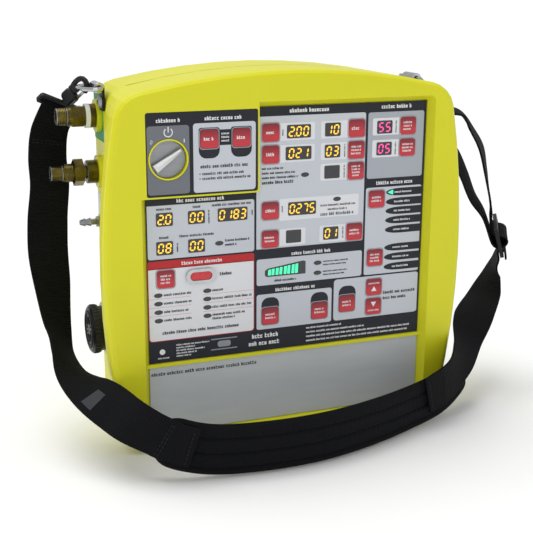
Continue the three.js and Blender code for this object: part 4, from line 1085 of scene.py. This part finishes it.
def sleeve_profile(start, end, inner, outer, soft=0.3):
    return [(start, inner), (start, outer - soft), (start + soft, outer), (end - soft, outer),
            (end, outer - soft), (end, inner)]


BOSS_X = -150.6
OXYGEN, AIR = (BOSS_X, 38, 283), (BOSS_X, 38, 233.5)
OUTWARDS = (-1, 0, 0)
# From and to along the fitting, inner and outer radius, pitch of the thread or softness of the rim.
THREADS = ((OXYGEN, 25.5, 32.5, 7.15, 7.75, 1.3), (AIR, 21.6, 29.2, 7.55, 8.2, 1.3))
RIMS = (
    (OXYGEN, 32.8, 34.2, 6.0, 7.6, 0.4), (OXYGEN, 24.2, 25.2, 7.0, 8.1, 0.3),
    (AIR, 40.2, 41.2, 5.2, 6.7, 0.4), (AIR, 30.4, 31.4, 6.2, 7.3, 0.3), (AIR, 8.9, 9.6, 6.5, 10.1, 0.3),
)
FLATS = (10.5, 21.5, 8.2, 9.9, 0.7)


def gas_fittings():
    bm = bmesh.new()
    for place, *sizes in THREADS:
        turned(bm, thread_profile(*sizes), place, OUTWARDS)
    finish_piece("fitting_threads", bm, "brass")
    bm = bmesh.new()
    for place, *sizes in RIMS:
        turned(bm, sleeve_profile(*sizes), place, OUTWARDS)
    finish_piece("fitting_rims", bm, "satin")
    bm = bmesh.new()
    turned(bm, sleeve_profile(*FLATS), OXYGEN, OUTWARDS, 6, math.pi / 6)
    finish_piece("oxygen_flats", bm, "brass")


FILTER_FACE = Vector((-165.5, 27, 90.5))
GRIP_RADIUS, GRIP_NEAR, GRIP_FAR, GRIP_RIB = 21.9, 7.3, 1.9, 0.75
SLOT_INNER, SLOT_OUTER, SLOT_HALF = 5.5, 12, 0.8


def filter_details():
    """Grip ribs round the filter cap, a raised rim on its face and air slots."""
    bm = bmesh.new()
    for a in around(36):
        centre = FILTER_FACE + Vector((0, math.cos(a), math.sin(a))) * GRIP_RADIUS
        capsule(bm, centre + Vector((GRIP_NEAR, 0, 0)), centre + Vector((GRIP_FAR, 0, 0)), GRIP_RIB)
    turned(bm, sleeve_profile(-0.9, 0.2, 14.5, 17.5), FILTER_FACE, (1, 0, 0), 40)
    for a in around(12):
        centre, out = FILTER_FACE - Vector((0.1, 0, 0)), Vector((0, math.cos(a), math.sin(a)))
        capsule(bm, centre + out * SLOT_INNER, centre + out * SLOT_OUTER, SLOT_HALF)
    finish_piece("filter_cap_ribs", bm, "rubber", body="filter_cap")


RING_X, RING_Y, RING_Z = 151.6, 21, 309.5
SLEEVE = ((-12.4, 2.5), (-12.4, 4.2), (-11.9, 4.75), (8.9, 4.75), (9.4, 4.2), (9.4, 2.5))
BRACKET_SCREW = Vector((149.6, 15, 297.5))
SCREW_HEAD, CROSS_HALF = 2.7, 1.9


# Dark crossed rods on a screw head stand for its cross recess: painted shade, in the black rubber look.
def screw_cross(bm, centre, ways, radius):
    for way in ways:
        capsule(bm, centre - way * CROSS_HALF, centre + way * CROSS_HALF, radius)


def bracket_details():
    dome = [(0, 5.6)] + [(0.3 + 2.6 * math.sin(a), 5.5 * math.cos(a)) for a in arc(0, 90, 8)] + [(0, 0)]
    for side, word in ((-1, "left"), (1, "right")):
        bm = bmesh.new()
        turned(bm, SLEEVE, (side * RING_X, RING_Y, RING_Z), (0, 1, 0), 28)
        finish_piece(word + "_bracket_sleeve", bm, "steel")
        bm = bmesh.new()
        place = BRACKET_SCREW * Vector((side, 1, 1))
        turned(bm, dome, place, (side, 0, 0), 32)
        finish_piece(word + "_bracket_screw", bm, "screw")
        bm = bmesh.new()
        top = place + Vector((side * SCREW_HEAD, 0, 0))
        # painted shade of the cross recess
        screw_cross(bm, top, (Vector((0, 1, 0)), Vector((0, 0, 1))), 0.5)
        finish_piece(word + "_bracket_cross", bm, "rubber")


REAR_Y, REAR_SCREWS = 59, [(x, z) for x in (-118, 118) for z in (30, 160, 285)]
LABEL_XZ, LABEL_Y = (-147.27, -146.92, 190, 212), (44, 53.5)
REAR_DOME = ((0, 4.6), (0.8, 4.4), (1.7, 3.2), (2.0, 0), (0, 0))


def housing_details():
    """Side label plate without print, and the rear screws."""
    bm = bmesh.new()
    prism(bm, rounded(*LABEL_XZ, 0), *LABEL_Y)
    finish_piece("side_label", bm, "pale", flat=True)
    bm = bmesh.new()
    cross = bmesh.new()
    for x, z in REAR_SCREWS:
        turned(bm, REAR_DOME, (x, REAR_Y, z), (0, 1, 0), 20)
        # painted shade of the cross recess
        screw_cross(cross, Vector((x, REAR_Y + 1.85, z)), (Vector((1, 0, 0)), Vector((0, 0, 1))), 0.45)
    finish_piece("rear_screws", bm, "gunmetal")
    finish_piece("rear_screw_crosses", cross, "rubber")


# ---- assembly

make_camera()
make_stage()
dress_nodes()
printed_panel()
number_displays()
key_highlight_rims()
key_legends()
lamps()
battery_gauge()
knob_ridge_highlight()
start_panel()
STRIPS = strap_bands()
shoulder_pad()
sewing(STRIPS)
woven_tag(STRIPS["left_webbing"])
gas_fittings()
filter_details()
bracket_details()
housing_details()
